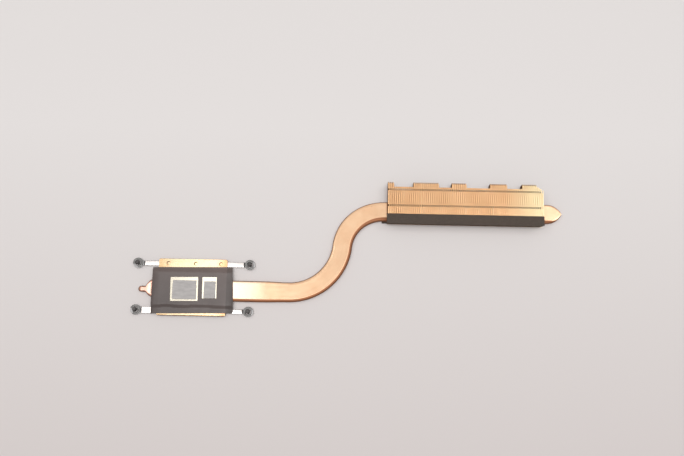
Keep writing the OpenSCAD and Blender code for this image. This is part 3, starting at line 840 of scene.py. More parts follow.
# %% Marks of the press, and the pipe's UV map
FLAT_SINK = 0.05
WRINKLE_DEPTH = 0.04
WRINKLE_PITCH = 1.9
BEND_SLACK = 0.55
for v in pipe.verts:
    along, across = along_and_across(v.co.x, v.co.y)
    up = (v.co.z - axis_start.z) / pipe_half_height
    if NOSE_X < v.co.x < pipe_high.x - 9 and abs(up) > 0.8:
        hollow = max(0.0, 1 - (across / FIN_HALF) ** 2)
        sink = FLAT_SINK * hollow * (0.7 + 0.6 * noise.noise((along * 0.15, 0, 3 * up)))
        v.co.z -= math.copysign(sink, up)
    into_second = (along - BEND_START - BEND_RADII[0] * bend_turn) / (BEND_RADII[1] * bend_turn)
    into_first = (along - BEND_START) / (BEND_RADII[0] * bend_turn)
    for share, inner in ((into_first, 1), (into_second, -1)):
        if 0 < share < 1 and inner * across > 0.75 * FIN_HALF:
            wave = math.sin(math.tau * along / WRINKLE_PITCH + 2 * noise.noise((along * 0.3, 1, 1)))
            depth = WRINKLE_DEPTH * math.sin(math.pi * share) ** 2 * max(0.0, wave) * up
            v.co.z -= depth
            v.co.y -= 0.6 * inner * abs(depth)
    if into_second > 0 and v.co.x > BEND_START:
        straight = max(0, (v.co.x - bend_end) / (pipe_high.x - bend_end))
        v.co.y -= BEND_SLACK * ease(into_second) * (1 - 0.7 * straight)
uv = pipe.loops.layers.uv.new("route")
for face in pipe.faces:
    for corner in face.loops:
        along, across = along_and_across(corner.vert.co.x, corner.vert.co.y)
        half = FIN_HALF + (PLATE_HALF - FIN_HALF) * ease((BEND_START - corner.vert.co.x) / TAPER_LENGTH)
        corner[uv].uv = (along * MM, across * MM * FIN_HALF / half)
pipe_metal = pipe_copper(pipe_low.z + home.z, pipe_high.z + home.z)
even_shading(settle("pipe_tube", pipe, "heatsink", pipe_metal, ["heat_pipe"], crease=50))

# %% [markdown]
# ## The cold plate
# The plate is stamped: a flat blank whose middle is pushed up by a millimetre, so that the pipe fits
# under it. We do the same. A slab is scored along the four fold lines, its middle is lifted, the
# folds are rounded as a press rounds them, and only then do the corners and the rim get their radii.
# The six stakes are punched down from above, which leaves a blind hole over a button under the strip.

# %% Stamp the plate
plate_low, plate_high = cad("cold_plate")
PLATE_THICK = 0.8
RISE = 1.0
SLOPE = 1.0
RAISED = (-8.25, 6.45)
DRAW_IN = 0.32
FOLD_RADIUS = 0.45
CORNER_RADIUS = 0.8
RIM_RADIUS = 0.12
flange_top = plate_high.z - RISE
flange_bottom = flange_top - PLATE_THICK
STAKE_XS = (-11.9, 1.0, 12.8)
STAKE_YS = (-11.0, 11.0)
STAKE_RADIUS = 0.9


def stamped_plate():
    bm = bmesh.new()
    slab(bm, (plate_low.x, plate_low.y, flange_bottom), (plate_high.x, plate_high.y, flange_top))
    feet = (RAISED[0] - SLOPE, RAISED[1] + SLOPE)
    for y in (*feet, *RAISED):
        score(bm, "y", y)
    for v in bm.verts:
        below = v.co.z < flange_bottom + 0.1
        if RAISED[0] - 0.01 < v.co.y < RAISED[1] + 0.01:
            v.co.z += RISE
        if below and feet[0] - 0.01 < v.co.y < feet[1] + 0.01:
            v.co.y += DRAW_IN if v.co.y < 0 else -DRAW_IN
    folds = [
        e for e in bm.edges
        if e.is_manifold and 20 < math.degrees(e.calc_face_angle()) < 70
        and abs(e.verts[0].co.x - e.verts[1].co.x) > 1
    ]
    round_edges(bm, folds, FOLD_RADIUS, 5)
    corners = [
        e for e in sharp_edges(bm)
        if abs(e.verts[0].co.z - e.verts[1].co.z) > PLATE_THICK / 2
        and abs(e.verts[0].co.x - e.verts[1].co.x) < 0.01
        and (abs(e.verts[0].co.y - plate_low.y) < 0.01 or abs(e.verts[0].co.y - plate_high.y) < 0.01)
    ]
    round_edges(bm, corners, CORNER_RADIUS, 6)
    round_edges(bm, sharp_edges(bm), RIM_RADIUS, 2)
    return bm


# %% [markdown]
# A boolean cuts the punched holes, because a hole through a curved or scored face is hard to extrude.
# The punch is tapered and leaned a little, so one side of each hole slopes more than the other, and the
# button below is turned on the lathe as a low dome and joined on.

# %% Punch the stakes
LIP = 0.04
HOLE_DEPTH = 0.3
PUNCH_LEAN = 0.14
stake_places = [(x, y) for x in STAKE_XS for y in STAKE_YS]
punch_profile = [
    (0, flange_top - HOLE_DEPTH), (STAKE_RADIUS - 0.22, flange_top - HOLE_DEPTH),
    (STAKE_RADIUS, flange_top - LIP), (STAKE_RADIUS + LIP, flange_top),
    (STAKE_RADIUS + LIP, flange_top + 1), (0, flange_top + 1),
]
button_bottom = plate_low.z
button_radius = STAKE_RADIUS + 0.25
button_profile = [
    (0, button_bottom), (0.6 * button_radius, button_bottom + 0.02),
    (0.92 * button_radius, button_bottom + 0.09), (button_radius, button_bottom + 0.19),
    (STAKE_RADIUS - 0.06, button_bottom + 0.2),
    (STAKE_RADIUS - 0.06, flange_bottom + 0.2), (0, flange_bottom + 0.2),
]
plate = stamped_plate()
punches = gather([turned(punch_profile, (x, y, 0), 32) for x, y in stake_places])
for v in punches.verts:
    if v.co.z < flange_top - HOLE_DEPTH + 0.01:
        v.co.x += PUNCH_LEAN
        v.co.y -= PUNCH_LEAN / 2
plate = combine(plate, punches, "DIFFERENCE")
plate = combine(plate, gather([turned(button_profile, (x, y, 0), 32) for x, y in stake_places]), "UNION")
plate_left, plate_near, plate_right = plate_low.x + home.x, plate_low.y + home.y, plate_high.x + home.x
plate_metal = plate_copper(plate_left, plate_right, plate_near, flange_top + home.z)
plate_piece = settle(
    "plate_stamping", plate, "heatsink", plate_metal, ["cold_plate"], crease=30
)
even_shading(plate_piece)

# %% [markdown]
# ## The spring strips
# Each strip is punched from spring steel: a bar with an eye at both ends and three holes for the
# stakes. The pen draws one outline round the whole blank. Then the blank is scored close together
# beside each eye, and the vertices follow a smooth step, so that the eye sits lower than the bar.

# %% Punch and bend the strips
STRIP_THICK = 0.4
ARM_HALVES = {"strip_far": (1.13, 1.18), "strip_near": (1.5, 1.0)}
MIDDLE_HALF = 1.9
MIDDLE_REACH = 14.65
EYE_RADIUS = 2.42
EYE_HOLE = 1.4
EYE_X = abs(screw_axes["screw_1"].x - home.x)
STEP_ENDS = {"strip_far": (23.6, 23.9), "strip_near": (23.9, 23.9)}
STEP_LENGTH = 0.55
EYE_DROP = 0.45
STRIP_EDGE = 0.18


def arm_start(half):
    """Where an arm of this half width meets its eye, and half of the angle it takes from the eye."""
    opening = math.degrees(math.asin(half / EYE_RADIUS))
    return EYE_X - EYE_RADIUS * math.cos(math.radians(opening)), opening


def strip_blank(bottom, left, right):
    """The flat blank. left and right are the half widths of its two arms."""
    bm = bmesh.new()
    left_start, left_opening = arm_start(left)
    right_start, right_opening = arm_start(right)
    tip = bm.verts.new((right_start, right, 0))
    tip = pen_line(bm, tip, MIDDLE_REACH + 0.5, right)
    tip = pen_line(bm, tip, MIDDLE_REACH, MIDDLE_HALF)
    tip = pen_line(bm, tip, -MIDDLE_REACH, MIDDLE_HALF)
    tip = pen_line(bm, tip, -MIDDLE_REACH - 0.5, left)
    tip = pen_line(bm, tip, -left_start, left)
    tip = pen_arc(bm, tip, -EYE_X, 0, 360 - 2 * left_opening, 36)
    tip = pen_line(bm, tip, -MIDDLE_REACH - 0.5, -left)
    tip = pen_line(bm, tip, -MIDDLE_REACH, -MIDDLE_HALF)
    tip = pen_line(bm, tip, MIDDLE_REACH, -MIDDLE_HALF)
    tip = pen_line(bm, tip, MIDDLE_REACH + 0.5, -right)
    tip = pen_line(bm, tip, right_start, -right)
    pen_arc(bm, tip, EYE_X, 0, 360 - 2 * right_opening, 36)
    for x in (-EYE_X, EYE_X):
        ring(bm, x, 0, EYE_HOLE)
    for x in STAKE_XS:
        ring(bm, x, 0, STAKE_RADIUS)
    blank(bm, bottom, STRIP_THICK)
    return bm


def spring_strip(node, name):
    low, high = cad(node)
    bm = strip_blank(high.z - STRIP_THICK, *ARM_HALVES[node])
    round_edges(bm, sharp_edges(bm), STRIP_EDGE, 2)
    for side, end in zip((-1, 1), STEP_ENDS[node]):
        start = end - STEP_LENGTH
        for cut in range(9):
            score(bm, "x", side * (start - 0.2 + (STEP_LENGTH + 0.4) * cut / 8))
        for v in bm.verts:
            v.co.z -= EYE_DROP * ease((side * v.co.x - start) / STEP_LENGTH)
    bmesh.ops.translate(bm, verts=bm.verts, vec=(0, (low.y + high.y) / 2, 0))
    return even_shading(settle(name, bm, "heatsink", strip_steel, [node], crease=38))


spring_strip("strip_far", "spring_far")
spring_strip("strip_near", "spring_near")

# %% [markdown]
# ## The captive screws
# A screw is lathe work, so its head, sliding shoulder and groove are one turned profile. Its thread is
# a spin as well: when the spin also climbs, a profile of one pitch sweeps out the helix, and its
# end meets its start a turn later. The cross in the head is cut with two tapered bars.

# %% Turn, thread and cut a screw
HEAD_RADIUS = 2.2
HEAD_HEIGHT = 1.0
HEAD_EDGE = 0.22
SHOULDER_RADIUS = 1.3
GROOVE_RADIUS = 0.8
THREAD_RADIUS = 1.0
THREAD_DEPTH = 0.2
THREAD_PITCH = 0.4
THREAD_STEPS = 20
clip_low, clip_high = cad("clip_1")
screw_low, screw_high = cad("screw_1")
thread_start = clip_high.z + 0.05


def thread(bottom, top):
    """A closed threaded rod. One pitch of its profile is spun while it climbs."""
    bm = bmesh.new()
    core = THREAD_RADIUS - THREAD_DEPTH
    profile = [
        (core, 0), (core, 0.12), (THREAD_RADIUS, 0.42), (THREAD_RADIUS, 0.58), (core, 0.88), (core, 1),
    ]
    turns = math.ceil((top - bottom) / THREAD_PITCH) + 2
    tip = bm.verts.new((core, 0, bottom - THREAD_PITCH))
    for radius, share in profile[1:]:
        tip = bmesh.ops.extrude_vert_indiv(bm, verts=[tip])["verts"][0]
        tip.co = (radius, 0, bottom - THREAD_PITCH + share * THREAD_PITCH)
    bmesh.ops.spin(
        bm, geom=bm.verts[:] + bm.edges[:], cent=(0, 0, 0), axis=(0, 0, 1), angle=math.tau * turns,
        dvec=(0, 0, THREAD_PITCH / THREAD_STEPS), steps=THREAD_STEPS * turns,
    )
    bmesh.ops.remove_doubles(bm, verts=bm.verts, dist=1e-3)
    for height, up in ((bottom, -1), (top, 1)):
        bmesh.ops.bisect_plane(
            bm, geom=bm.verts[:] + bm.edges[:] + bm.faces[:], plane_co=(0, 0, height),
            plane_no=(0, 0, up), clear_outer=True,
        )
    bmesh.ops.holes_fill(bm, edges=[e for e in bm.edges if e.is_boundary], sides=0)
    for v in bm.verts:
        limit = min(THREAD_RADIUS, core - 0.05 + (top - v.co.z), core + 0.02 + (v.co.z - bottom))
        reach = math.hypot(v.co.x, v.co.y)
        if reach > limit:
            v.co.x *= limit / reach
            v.co.y *= limit / reach
    return bm


def cross_cutter():
    bm = bmesh.new()
    for degrees in (0, 90):
        bar = slab(bm, (-1.1, -0.2, -0.5), (1.1, 0.2, 0.62))
        for v in bar:
            if v.co.z > 0:
                v.co.x *= 0.72
                v.co.y *= 0.6
        turn = Matrix.Rotation(math.radians(degrees), 3, "Z")
        bmesh.ops.rotate(bm, verts=bar, cent=(0, 0, 0), matrix=turn)
    return bm


def captive_screw(number):
    body = turned([
        (0, 0), (HEAD_RADIUS - HEAD_EDGE, 0), (HEAD_RADIUS - 0.07, 0.07), (HEAD_RADIUS, HEAD_EDGE),
        (HEAD_RADIUS, HEAD_HEIGHT - 0.08), (HEAD_RADIUS - 0.08, HEAD_HEIGHT), (SHOULDER_RADIUS, HEAD_HEIGHT),
        (SHOULDER_RADIUS, clip_low.z - 0.06), (SHOULDER_RADIUS - 0.06, clip_low.z),
        (GROOVE_RADIUS, clip_low.z), (GROOVE_RADIUS, thread_start + 0.1), (0, thread_start + 0.1),
    ])
    bm = combine(body, cross_cutter(), "DIFFERENCE")
    bm = gather([bm, thread(thread_start, screw_high.z)])
    axis = screw_axes[f"screw_{number}"] - home
    bmesh.ops.translate(bm, verts=bm.verts, vec=(axis.x, axis.y, 0))
    name = f"screw_{number}"
    return settle(f"captive_{name}", bm, name, screw_steel, [name], crease=28)


for number in (1, 2, 3, 4):
    captive_screw(number)

# %% [markdown]
# ## The retaining clips
# An open clip snaps into the groove under the thread and keeps the screw in its eye. It is punched
# too: an outer arc, a mouth, and an inner edge that grips the groove with three prongs. The pen
# follows it round once, and the strip between the prongs is relieved with larger arcs.

# %% Punch the clips
CLIP_RADIUS = 2.3
CLIP_RIM = 1.45
CLIP_GRIP = 0.85
CLIP_MOUTH = 40
CLIP_TURNS = (235, 5, 200, -8)
PRONG_HALF = 0.4
PRONG_TURN = 60


def polar(radius, degrees):
    angle = math.radians(degrees)
    return radius * math.cos(angle), radius * math.sin(angle)


def prong_reach(radius):
    """Half of the angle that a prong takes up at a radius, in degrees."""
    return math.degrees(math.asin(PRONG_HALF / radius))


def clip_outline(bm):
    """The mouth opens along +X. Inside, three prongs reach from the rim to the groove."""
    tip = bm.verts.new((*polar(CLIP_RADIUS, CLIP_MOUTH), 0))
    tip = pen_arc(bm, tip, 0, 0, 360 - 2 * CLIP_MOUTH, 48)
    narrow, wide = prong_reach(CLIP_GRIP), prong_reach(CLIP_RIM)
    tip = pen_line(bm, tip, *polar(CLIP_GRIP, -CLIP_MOUTH))
    tip = pen_arc(bm, tip, 0, 0, CLIP_MOUTH - PRONG_TURN - narrow, 5)
    for start, end in ((-PRONG_TURN, -180), (-180, -360 + PRONG_TURN)):
        tip = pen_line(bm, tip, *polar(CLIP_RIM, start - wide))
        tip = pen_arc(bm, tip, 0, 0, end - start + 2 * wide, 16)
        tip = pen_line(bm, tip, *polar(CLIP_GRIP, end + narrow))
        grip = 2 * narrow if end == -180 else PRONG_TURN - CLIP_MOUTH + narrow
        tip = pen_arc(bm, tip, 0, 0, -grip, 5)
    pen_line(bm, tip, *polar(CLIP_RADIUS, CLIP_MOUTH))


def retaining_clip(number):
    bm = bmesh.new()
    clip_outline(bm)
    blank(bm, clip_low.z, clip_high.z - clip_low.z)
    round_edges(bm, sharp_edges(bm), 0.05, 2)
    turn = Matrix.Rotation(math.radians(CLIP_TURNS[number - 1]), 3, "Z")
    bmesh.ops.rotate(bm, verts=bm.verts, cent=(0, 0, 0), matrix=turn)
    axis = screw_axes[f"screw_{number}"] - home
    bmesh.ops.translate(bm, verts=bm.verts, vec=(axis.x, axis.y, 0))
    name = f"clip_{number}"
    return even_shading(settle(f"retaining_{name}", bm, name, clip_steel, [name], crease=38))


for number in (1, 2, 3, 4):
    retaining_clip(number)

# %% [markdown]
# ## The insulating film
# The film is a sheet of plastic with two windows, stuck on slightly askew. It lies on the raised
# middle, drapes over both slopes onto the flanges, and its two ends reach past the plate and hang a
# little. A cloth simulation would crumple it like fabric. A film this stiff only bends, so a fine
# grid is laid in plan and each vertex takes the height of what is under it, smoothed as film bends.

# %% Lay the film
FILM_SIZE = (37.7, 21.7)
FILM_MIDDLE = (0.1, -1.5)
FILM_TURN = 1.2
FILM_THICK = 0.12
FILM_CELL = 0.35
DRAPE = 1.9
FAR_DRAPE = 3.2
SKEW = 0.5
DENTS = ((-11.6, 3.2), (4.6, 5.6))
HANG_START = 15.5
HANG = 0.16
SKEW_START = 13.5
SKEW_SPAN = 5
SIDE_BOW = 0.2
# How far in from the plate's far edge the film's painted light reaches its full strength.
FILM_LIGHT_INSET = 3
pads = {"cpu_pad": (0.7, 1.5, 0.95, 0.75), "chipset_pad": (0.02, 1.95, 0.8, 0.5)}
film_matrix = Matrix.Translation((*FILM_MIDDLE, 0)) @ Matrix.Rotation(math.radians(FILM_TURN), 4, "Z")


def windows():
    """Each window's two corners in the film's own plane, square to the film."""
    for node, (near, far, left, right) in pads.items():
        low, high = cad(node)
        middle = (low + high + Vector((right - left, far - near, 0))) / 2
        reach = (high - low + Vector((left + right, near + far, 0))) / 2
        middle.z = reach.z = 0
        place = film_matrix.inverted() @ middle
        yield place - reach, place + reach


def film_height(x, y):
    """Height of the film's underside over a point of the plate, in millimetres."""
    over = max(RAISED[0] - y, y - RAISED[1], 0)
    lift = RISE * (1 - ease(over / (DRAPE if y < 0 else FAR_DRAPE)))
    past = max(abs(x - (plate_low.x + plate_high.x) / 2) - HANG_START, 0)
    sag = HANG * past * (1 + 0.5 * past) * (0.55 + 0.45 * noise.noise((x * 0.2, y * 0.16, 5)))
    wave = 0.05 * (1 + noise.noise((x * 0.3, y * 0.4, 2))) * ease(over / 0.8)
    crease = sum(math.exp(-(((x - middle) / reach) ** 4)) for middle, reach in DENTS)
    dent = 0.24 * ease(over / 0.5) * (1 - ease((over - 1.0) / 0.7)) * crease * (y < 0)
    return flange_top + lift + wave - dent * (lift > 0.05) - sag


def film_grid():
    bm = bmesh.new()
    across, deep = (math.ceil(size / FILM_CELL) for size in FILM_SIZE)
    bmesh.ops.create_grid(bm, x_segments=across, y_segments=deep, size=0.5)
    bmesh.ops.scale(bm, verts=bm.verts, vec=(*FILM_SIZE, 1))
    for low, high in windows():
        for axis, at in (("x", low.x), ("x", high.x), ("y", low.y), ("y", high.y)):
            score(bm, axis, at)
        inside = [
            f for f in bm.faces
            if low.x < f.calc_center_median().x < high.x and low.y < f.calc_center_median().y < high.y
        ]
        bmesh.ops.delete(bm, geom=inside, context="FACES")
    for v in bm.verts:
        end = ease((abs(v.co.x) - SKEW_START) / SKEW_SPAN)
        share = v.co.y / (FILM_SIZE[1] / 2)
        v.co.x -= SKEW / 2 * end * (1 + math.copysign(1, v.co.x) * share)
        v.co.x += SIDE_BOW * end * (1 - share**2) * (v.co.x > 0)
    bmesh.ops.transform(bm, matrix=film_matrix, verts=bm.verts)
    for v in bm.verts:
        v.co.z = film_height(v.co.x, v.co.y)
    bmesh.ops.recalc_face_normals(bm, faces=bm.faces)
    if bm.faces[0].normal.z > 0:
        bmesh.ops.reverse_faces(bm, faces=bm.faces)
    bmesh.ops.solidify(bm, geom=bm.faces[:], thickness=FILM_THICK)
    return bm


film = film_grid()
film_heights = [v.co.z for v in film.verts]
print("film heights, mm:", round(min(film_heights), 2), round(max(film_heights), 2))
film_black = film_plastic(plate_right, plate_near, plate_high.y + home.y - FILM_LIGHT_INSET)
settle("film_sheet", film, "heatsink", film_black, ["insulating_film"], crease=60)

# %% [markdown]
# ## The thermal pads
# Each pad is a square of soft compound pressed onto the copper. Its top is cloudy and almost flat,
# and its cut edges have frayed a little. A box cut into small cells can be frayed with noise: only
# the cells at the rim move sideways, and the top moves up and down by a few hundredths.

# %% Cut and fray the pads
PAD_CELL = 0.22


def cells(low, high, cell):
    """A box between two corners, cut into cells of about one size."""
    bm = bmesh.new()
    slab(bm, low, high)
    for axis, name in enumerate("xyz"):
        count = max(1, round((high[axis] - low[axis]) / cell))
        for cut in range(1, count):
            score(bm, name, low[axis] + (high[axis] - low[axis]) * cut / count)
    return bm


def thermal_pad(node, name, frayed):
    low, high = cad(node)
    bm = cells(low, high, PAD_CELL)
    round_edges(bm, [e for e in sharp_edges(bm) if max(v.co.z for v in e.verts) > low.z + 0.1], 0.07, 2)
    for v in bm.verts:
        rim = min(v.co.x - low.x, high.x - v.co.x, v.co.y - low.y, high.y - v.co.y)
        push = max(0, noise.noise(v.co * 1.3) + 0.2) * frayed * (1 - ease(rim / 0.3))
        inwards = (low + high) / 2 - v.co
        v.co.x += math.copysign(push, inwards.x) * (rim in (v.co.x - low.x, high.x - v.co.x))
        v.co.y += math.copysign(push, inwards.y) * (rim in (v.co.y - low.y, high.y - v.co.y))
        if v.co.z > high.z - 0.08:
            v.co.z -= 0.04 * (1 + noise.noise(v.co * 0.8)) * ease((v.co.z - low.z) / 0.4)
    piece = settle(name, bm, "heatsink", pad_grey, [node], crease=50)
    return piece


pad_grey = pad_compound()
thermal_pad("cpu_pad", "pad_processor", 0.22)
thermal_pad("chipset_pad", "pad_chipset", 0.14)

# %% [markdown]
# ## The foam strips
# Open-celled foam is knife-cut from sheet, so it has straight edges but no hard ones, and its faces
# are never quite flat. The box is cut into cells again, its long edges are rounded, and a noise
# of cell size roughens every face. The material adds the cells that are too small to model.

# %% Cut the foam
FOAM_CELL = 0.5
FOAM_EDGE = 0.18
FOAM_ROUGH = 0.05


def foam_strip(node, name, trimmed):
    """A strip whose near right corner is trimmed obliquely over a length in millimetres."""
    low, high = cad(node)
    inset = Vector((FOAM_ROUGH, FOAM_ROUGH, FOAM_ROUGH))
    bm = cells(low + inset, high - inset, FOAM_CELL)
    round_edges(bm, sharp_edges(bm), FOAM_EDGE, 2)
    bmesh.ops.subdivide_edges(bm, edges=bm.edges[:], cuts=1, use_grid_fill=True)
    bm.normal_update()
    for v in bm.verts:
        v.co.y += max(0, (v.co.x - high.x + trimmed) / trimmed) * 0.5 * (v.co.y < low.y + 0.4)
        rough = noise.noise(v.co * 2.6) * 0.6 + noise.noise(v.co * 0.6) * 0.4
        v.co += v.normal * FOAM_ROUGH * rough
        v.co.z = max(low.z, min(high.z, v.co.z))
    piece = settle(name, bm, "heatsink", foam_dark, [node], crease=70)
    return piece


foam_dark = foam_cells()
foam_strip("foam_top", "foam_over_fins", 1.6)
foam_strip("foam_low", "foam_under_pipe", 0.2)

# %% [markdown]
# ## The fins
# A fin is one strip of thin copper with a flange folded over at its top and bottom. Each flange has
# two tongues that go through windows beside the next fin's fold and hook behind it, so the pack locks
# itself without a frame. We fold it as a sheet: the pen draws the channel's middle line with two
# round folds, extruding it in steps along the fin leaves the windows as single faces to delete, the
# tongues grow out of the flange's edge, and solidify gives the copper its thickness.

# %% Fold one fin
FIN_COUNT = 73
FIN_PITCH = 1.0
FIN_THICK = 0.2
FIN_DEPTH = 17.0
FLANGE_REACH = 0.87
FIN_FOLD = 0.24
WINDOW_HALF = 0.43
WINDOW_REACH = 0.64
WINDOW_DROP = 0.5
TONGUE_HALF = 0.16
TONGUE_REACH = 1.2
HOOK_DROP = 0.7
LOCK_ROWS = (15.65, 8.05)
NICK = 1.0
pack_low, _ = cad("fins_1")
fin_height = cad("fins_1")[1].z - pack_low.z


def channel(bm):
    """The middle line of a fin's section, from the top flange's edge to the bottom flange's edge."""
    top, bottom, wall = fin_height - FIN_THICK / 2, FIN_THICK / 2, FIN_THICK / 2
    tip = bm.verts.new((FLANGE_REACH, 0, top))
    for x, z in ((WINDOW_REACH, top), (wall + FIN_FOLD, top)):
        tip = pen_upright(bm, tip, x, z)
    tip = pen_fold(bm, tip, wall + FIN_FOLD, top - FIN_FOLD, -90)
    for x, z in ((wall, top - WINDOW_DROP), (wall, bottom + WINDOW_DROP), (wall, bottom + FIN_FOLD)):
        tip = pen_upright(bm, tip, x, z)
    tip = pen_fold(bm, tip, wall + FIN_FOLD, bottom + FIN_FOLD, -90)
    for x, z in ((WINDOW_REACH, bottom), (FLANGE_REACH, bottom)):
        tip = pen_upright(bm, tip, x, z)


def pen_upright(bm, tip, x, z):
    made = bmesh.ops.extrude_vert_indiv(bm, verts=[tip])["verts"][0]
    made.co = (x, 0, z)
    return made


def pen_fold(bm, tip, x, z, degrees, steps=4):
    made = bmesh.ops.spin(
        bm, geom=[tip], cent=(x, 0, z), axis=(0, 1, 0), angle=math.radians(degrees), steps=steps
    )
    return only(bmesh.types.BMVert, made["geom_last"])[0]


def in_window(face):
    middle = face.calc_center_median()
    level = min(middle.z, fin_height - middle.z)
    beside = any(abs(middle.y - row) < WINDOW_HALF for row in LOCK_ROWS)
    return beside and middle.x < WINDOW_REACH and level < WINDOW_DROP


def folded_fin(depth, locked=True):
    """A fin of a given depth, its wall's outer face on the YZ plane."""
    bm = bmesh.new()
    channel(bm)
    cuts = {depth}
    for row in LOCK_ROWS:
        cuts |= {row - WINDOW_HALF, row - TONGUE_HALF, row + TONGUE_HALF, row + WINDOW_HALF}
    edges = bm.edges[:]
    for y in sorted(cuts):
        made = bmesh.ops.extrude_edge_only(bm, edges=edges)["geom"]
        verts = only(bmesh.types.BMVert, made)
        for v in verts:
            v.co.y = y
        edges = [e for e in only(bmesh.types.BMEdge, made) if e.verts[0] in verts and e.verts[1] in verts]
    bmesh.ops.delete(bm, geom=[f for f in bm.faces if in_window(f)], context="FACES")
    if locked:
        grow_tongues(bm)
    fold_end = FIN_THICK / 2 + FIN_FOLD
    for v in bm.verts:
        if v.co.y > depth - 0.01 and depth > FIN_DEPTH + 1:
            v.co.y -= NICK * max(0, (v.co.x - fold_end) / (FLANGE_REACH - fold_end))
    bmesh.ops.recalc_face_normals(bm, faces=bm.faces)
    probe = max(bm.faces, key=lambda f: f.calc_center_median().z)
    if probe.normal.z > 0:
        bmesh.ops.reverse_faces(bm, faces=bm.faces)
    bmesh.ops.solidify(bm, geom=bm.faces[:], thickness=FIN_THICK)
    level = fin_height - max(v.co.z for v in bm.verts)
    print(f"fin of depth {depth}: {len(bm.faces)} faces, top off by {level:.3f} mm")
    return bm


def grow_tongues(bm):
    """Extrudes each tongue from the flange's edge, through the next window and down behind the wall."""
    roots = [
        e for e in bm.edges
        if e.is_boundary and min(v.co.x for v in e.verts) > FLANGE_REACH - 0.01
        and any(abs((e.verts[0].co.y + e.verts[1].co.y) / 2 - row) < 0.05 for row in LOCK_ROWS)
    ]
    for reach, drop in ((FLANGE_REACH + 0.06, 0.04), (TONGUE_REACH - 0.08, 0.25), (TONGUE_REACH, HOOK_DROP)):
        made = bmesh.ops.extrude_edge_only(bm, edges=roots)["geom"]
        verts = only(bmesh.types.BMVert, made)
        for v in verts:
            level = v.co.z > fin_height / 2
            edge = fin_height - FIN_THICK / 2 if level else FIN_THICK / 2
            v.co.x = reach
            v.co.z = edge - drop if level else edge + drop
        roots = [e for e in only(bmesh.types.BMEdge, made) if e.verts[0] in verts and e.verts[1] in verts]


# %% [markdown]
# The pack is 73 such fins, a millimetre apart. Five groups are longer, to fill the space beside a
# fan's outlet, and the last three step back round a corner. Real flanges never lie exactly level, and
# each catches the light a little differently, so every fin gets its own small tilt from a seeded draw.

# %% Stack the fins
LONG_BY = 2.2
GROUP_STARTS = [(0, True), (3, False), (12, True), (24, False), (30, True),
                (37, False), (48, True), (56, False), (63, True), (70, False)]
CORNER_STEPS = {70: 0.9, 71: 0.2, 72: -0.6}
FLANGE_TILT = 0.009
TILT_START = 0.35
PACK_RIGHT = 163
draw = random.Random(7)


def fin_extra(number, longer):
    return CORNER_STEPS.get(number, LONG_BY if longer else 0)


def fin_meshes():
    """One mesh for each depth of fin in the pack, and one more for the last fin, which has no tongues."""
    made = {}
    last = CORNER_STEPS[FIN_COUNT - 1]
    for extra in (0, LONG_BY, *CORNER_STEPS.values()):
        bm = folded_fin(FIN_DEPTH + extra, locked=extra != last)
        made[extra] = bpy.data.meshes.new("fin")
        bm.to_mesh(made[extra])
        bm.free()
    return made


def fin_group(index, meshes, metal):
    start, longer = GROUP_STARTS[index]
    end = GROUP_STARTS[index + 1][0] if index + 1 < len(GROUP_STARTS) else FIN_COUNT
    whole = bmesh.new()
    for number in range(start, end):
        first = len(whole.verts)
        whole.from_mesh(meshes[fin_extra(number, longer)])
        whole.verts.ensure_lookup_table()
        verts = whole.verts[first:]
        tilt = draw.uniform(-FLANGE_TILT, 0)
        for v in verts:
            level = 1 if v.co.z > fin_height / 2 else -1
            past_fold = max(0, min(v.co.x, FLANGE_REACH) - TILT_START)
            v.co.z += level * tilt * past_fold / (FLANGE_REACH - TILT_START)
        bmesh.ops.translate(whole, verts=verts, vec=pack_low + Vector((number * FIN_PITCH, 0, 0)))
    node = f"fins_{index + 1}"
    return settle(f"fin_pack_{index + 1}", whole, "heatsink", metal, [node], crease=40)


long_end = pack_low.y + FIN_DEPTH + LONG_BY + home.y
fin_metal = fin_copper(pack_low.z, pack_low.z + fin_height, long_end, PACK_RIGHT + home.x)
depths = fin_meshes()
for index in range(len(GROUP_STARTS)):
    fin_group(index, depths, fin_metal)

# %% [markdown]
# ## What stays from the CAD model
# The wick and the two layers of solder lie inside or between other pieces. Their CAD shapes are right,
# so they stay, and only their materials change.

# %% Dress the inner pieces
for node, metal in (("wick", wick_copper()), ("plate_solder", solder_grey), ("fin_solder", solder_grey)):
    mesh = frame["nodes"][node].data
    mesh.materials.clear()
    mesh.materials.append(metal)
    print(node, "wears", metal.name)

# %% [markdown]
# ## Table, lamps and background
# A metal shows what is around it, so half of its look is the studio. The photograph's tight shadows
# say that most of its light comes from overhead and a little from the near side. So the key is a wide
# softbox overhead, set just far enough to the near side that no level face mirrors it to the camera,
# and a weaker wing on each side fills the rounds of the pipe and the screws. The small lamps are the
# photograph's glare: on the plate and the start of the pipe, in the bend, and at the fins' right end.
# The world is bright at the zenith and dim at the horizon for the light that it gives, and a plain
# pale backdrop to the camera and in what the metal mirrors.

# %% Set the table
TABLE_SIDE = 6.0
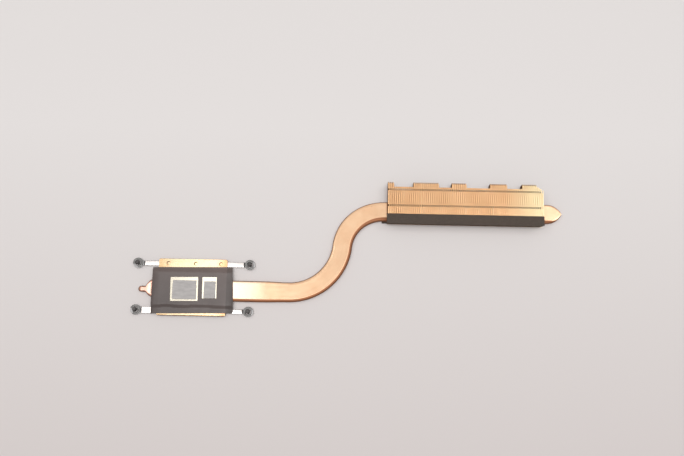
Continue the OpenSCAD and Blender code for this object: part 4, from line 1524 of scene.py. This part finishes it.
# Painted light falloff: the table is darker towards the near side.
TABLE_FALLOFF_SPAN = (-120, 60)
TABLE_FALLOFF_TONES = ((0.0, (0.69, 0.63, 0.615)), (1.0, (0.84, 0.80, 0.785)))
table_bm = bmesh.new()
bmesh.ops.create_grid(table_bm, x_segments=1, y_segments=1, size=TABLE_SIDE / 2)
table_mesh = bpy.data.meshes.new("table")
table_bm.to_mesh(table_mesh)
table_bm.free()
table = bpy.data.objects.new("table", table_mesh)
bpy.context.scene.collection.objects.link(table)
table_paint, table_tree, table_shader = new_material("table_paint")
table_falloff = share_along(table_tree, "Y", *TABLE_FALLOFF_SPAN)
table_colour = ramp(table_tree, table_falloff, *TABLE_FALLOFF_TONES)
feed(table_tree, table_shader, Base_Color=table_colour, Roughness=0.7, Specular_IOR_Level=0.2)
table_mesh.materials.append(table_paint)
print("table", TABLE_SIDE, "m wide")

# %% Light the studio
BACKGROUND = (0.84, 0.83, 0.82)
ZENITH = 0.84
HORIZON = 0.22
FALL_SPAN = (0.80, 0.955)

world = bpy.data.worlds.new("studio")
world.use_nodes = True
bpy.context.scene.world = world
tree = world.node_tree
tree.nodes.clear()
upward = add(tree, "SeparateXYZ")
tree.links.new(add(tree, "TexCoord").outputs["Generated"], upward.inputs["Vector"])
fall = add(tree, "MapRange", From_Min=FALL_SPAN[0], From_Max=FALL_SPAN[1], To_Min=HORIZON, To_Max=ZENITH)
fall.interpolation_type = "SMOOTHSTEP"
tree.links.new(upward.outputs["Z"], fall.inputs["Value"])
studio = add(tree, "Background", Color=(1, 0.995, 0.99, 1))
tree.links.new(fall.outputs["Result"], studio.inputs["Strength"])
backdrop = add(tree, "Background", Color=(*BACKGROUND, 1), Strength=1.0)
seen = add(tree, "LightPath")
looks = seen.outputs["Is Camera Ray"]
for kind in ("Is Glossy Ray", "Is Transmission Ray"):
    looks = greater(tree, looks, seen.outputs[kind])
choice = add(tree, "MixShader")
tree.links.new(looks, choice.inputs[0])
tree.links.new(studio.outputs[0], choice.inputs[1])
tree.links.new(backdrop.outputs[0], choice.inputs[2])
tree.links.new(choice.outputs[0], add(tree, "OutputWorld").inputs["Surface"])


def ceiling_lamp(name, across, along, radiance, height=2.0):
    """A level area lamp. Its two spans are slopes seen from the table: how far off per metre up."""
    data = bpy.data.lights.new(name, "AREA")
    data.shape = "RECTANGLE"
    data.size = (across[1] - across[0]) * height
    data.size_y = (along[1] - along[0]) * height
    data.energy = radiance * math.pi * data.size * data.size_y
    lamp = bpy.data.objects.new(name, data)
    lamp.location = (sum(across) / 2 * height, sum(along) / 2 * height, height)
    bpy.context.scene.collection.objects.link(lamp)
    print(name, "gives", round(data.energy, 1), "W")


ceiling_lamp("key", (-0.25, 0.25), (-0.24, -0.02), 13.5)
ceiling_lamp("left_wing", (-0.66, -0.34), (0.0, 0.24), 3.6)
ceiling_lamp("right_wing", (0.35, 0.68), (0.03, 0.28), 3.8)
ceiling_lamp("right_glare", (0.235, 0.34), (0.10, 0.32), 0.55)
ceiling_lamp("right_fade", (0.17, 0.235), (0.10, 0.32), 0.35)
ceiling_lamp("left_glare", (-0.21, -0.148), (0.06, 0.20), 1.9)
ceiling_lamp("left_fade", (-0.148, -0.11), (0.06, 0.20), 0.35)
ceiling_lamp("plate_glare", (-0.26, -0.20), (0.10, 0.20), 0.3)
ceiling_lamp("bend_glare", (-0.04, 0.045), (0.185, 0.24), 0.3)
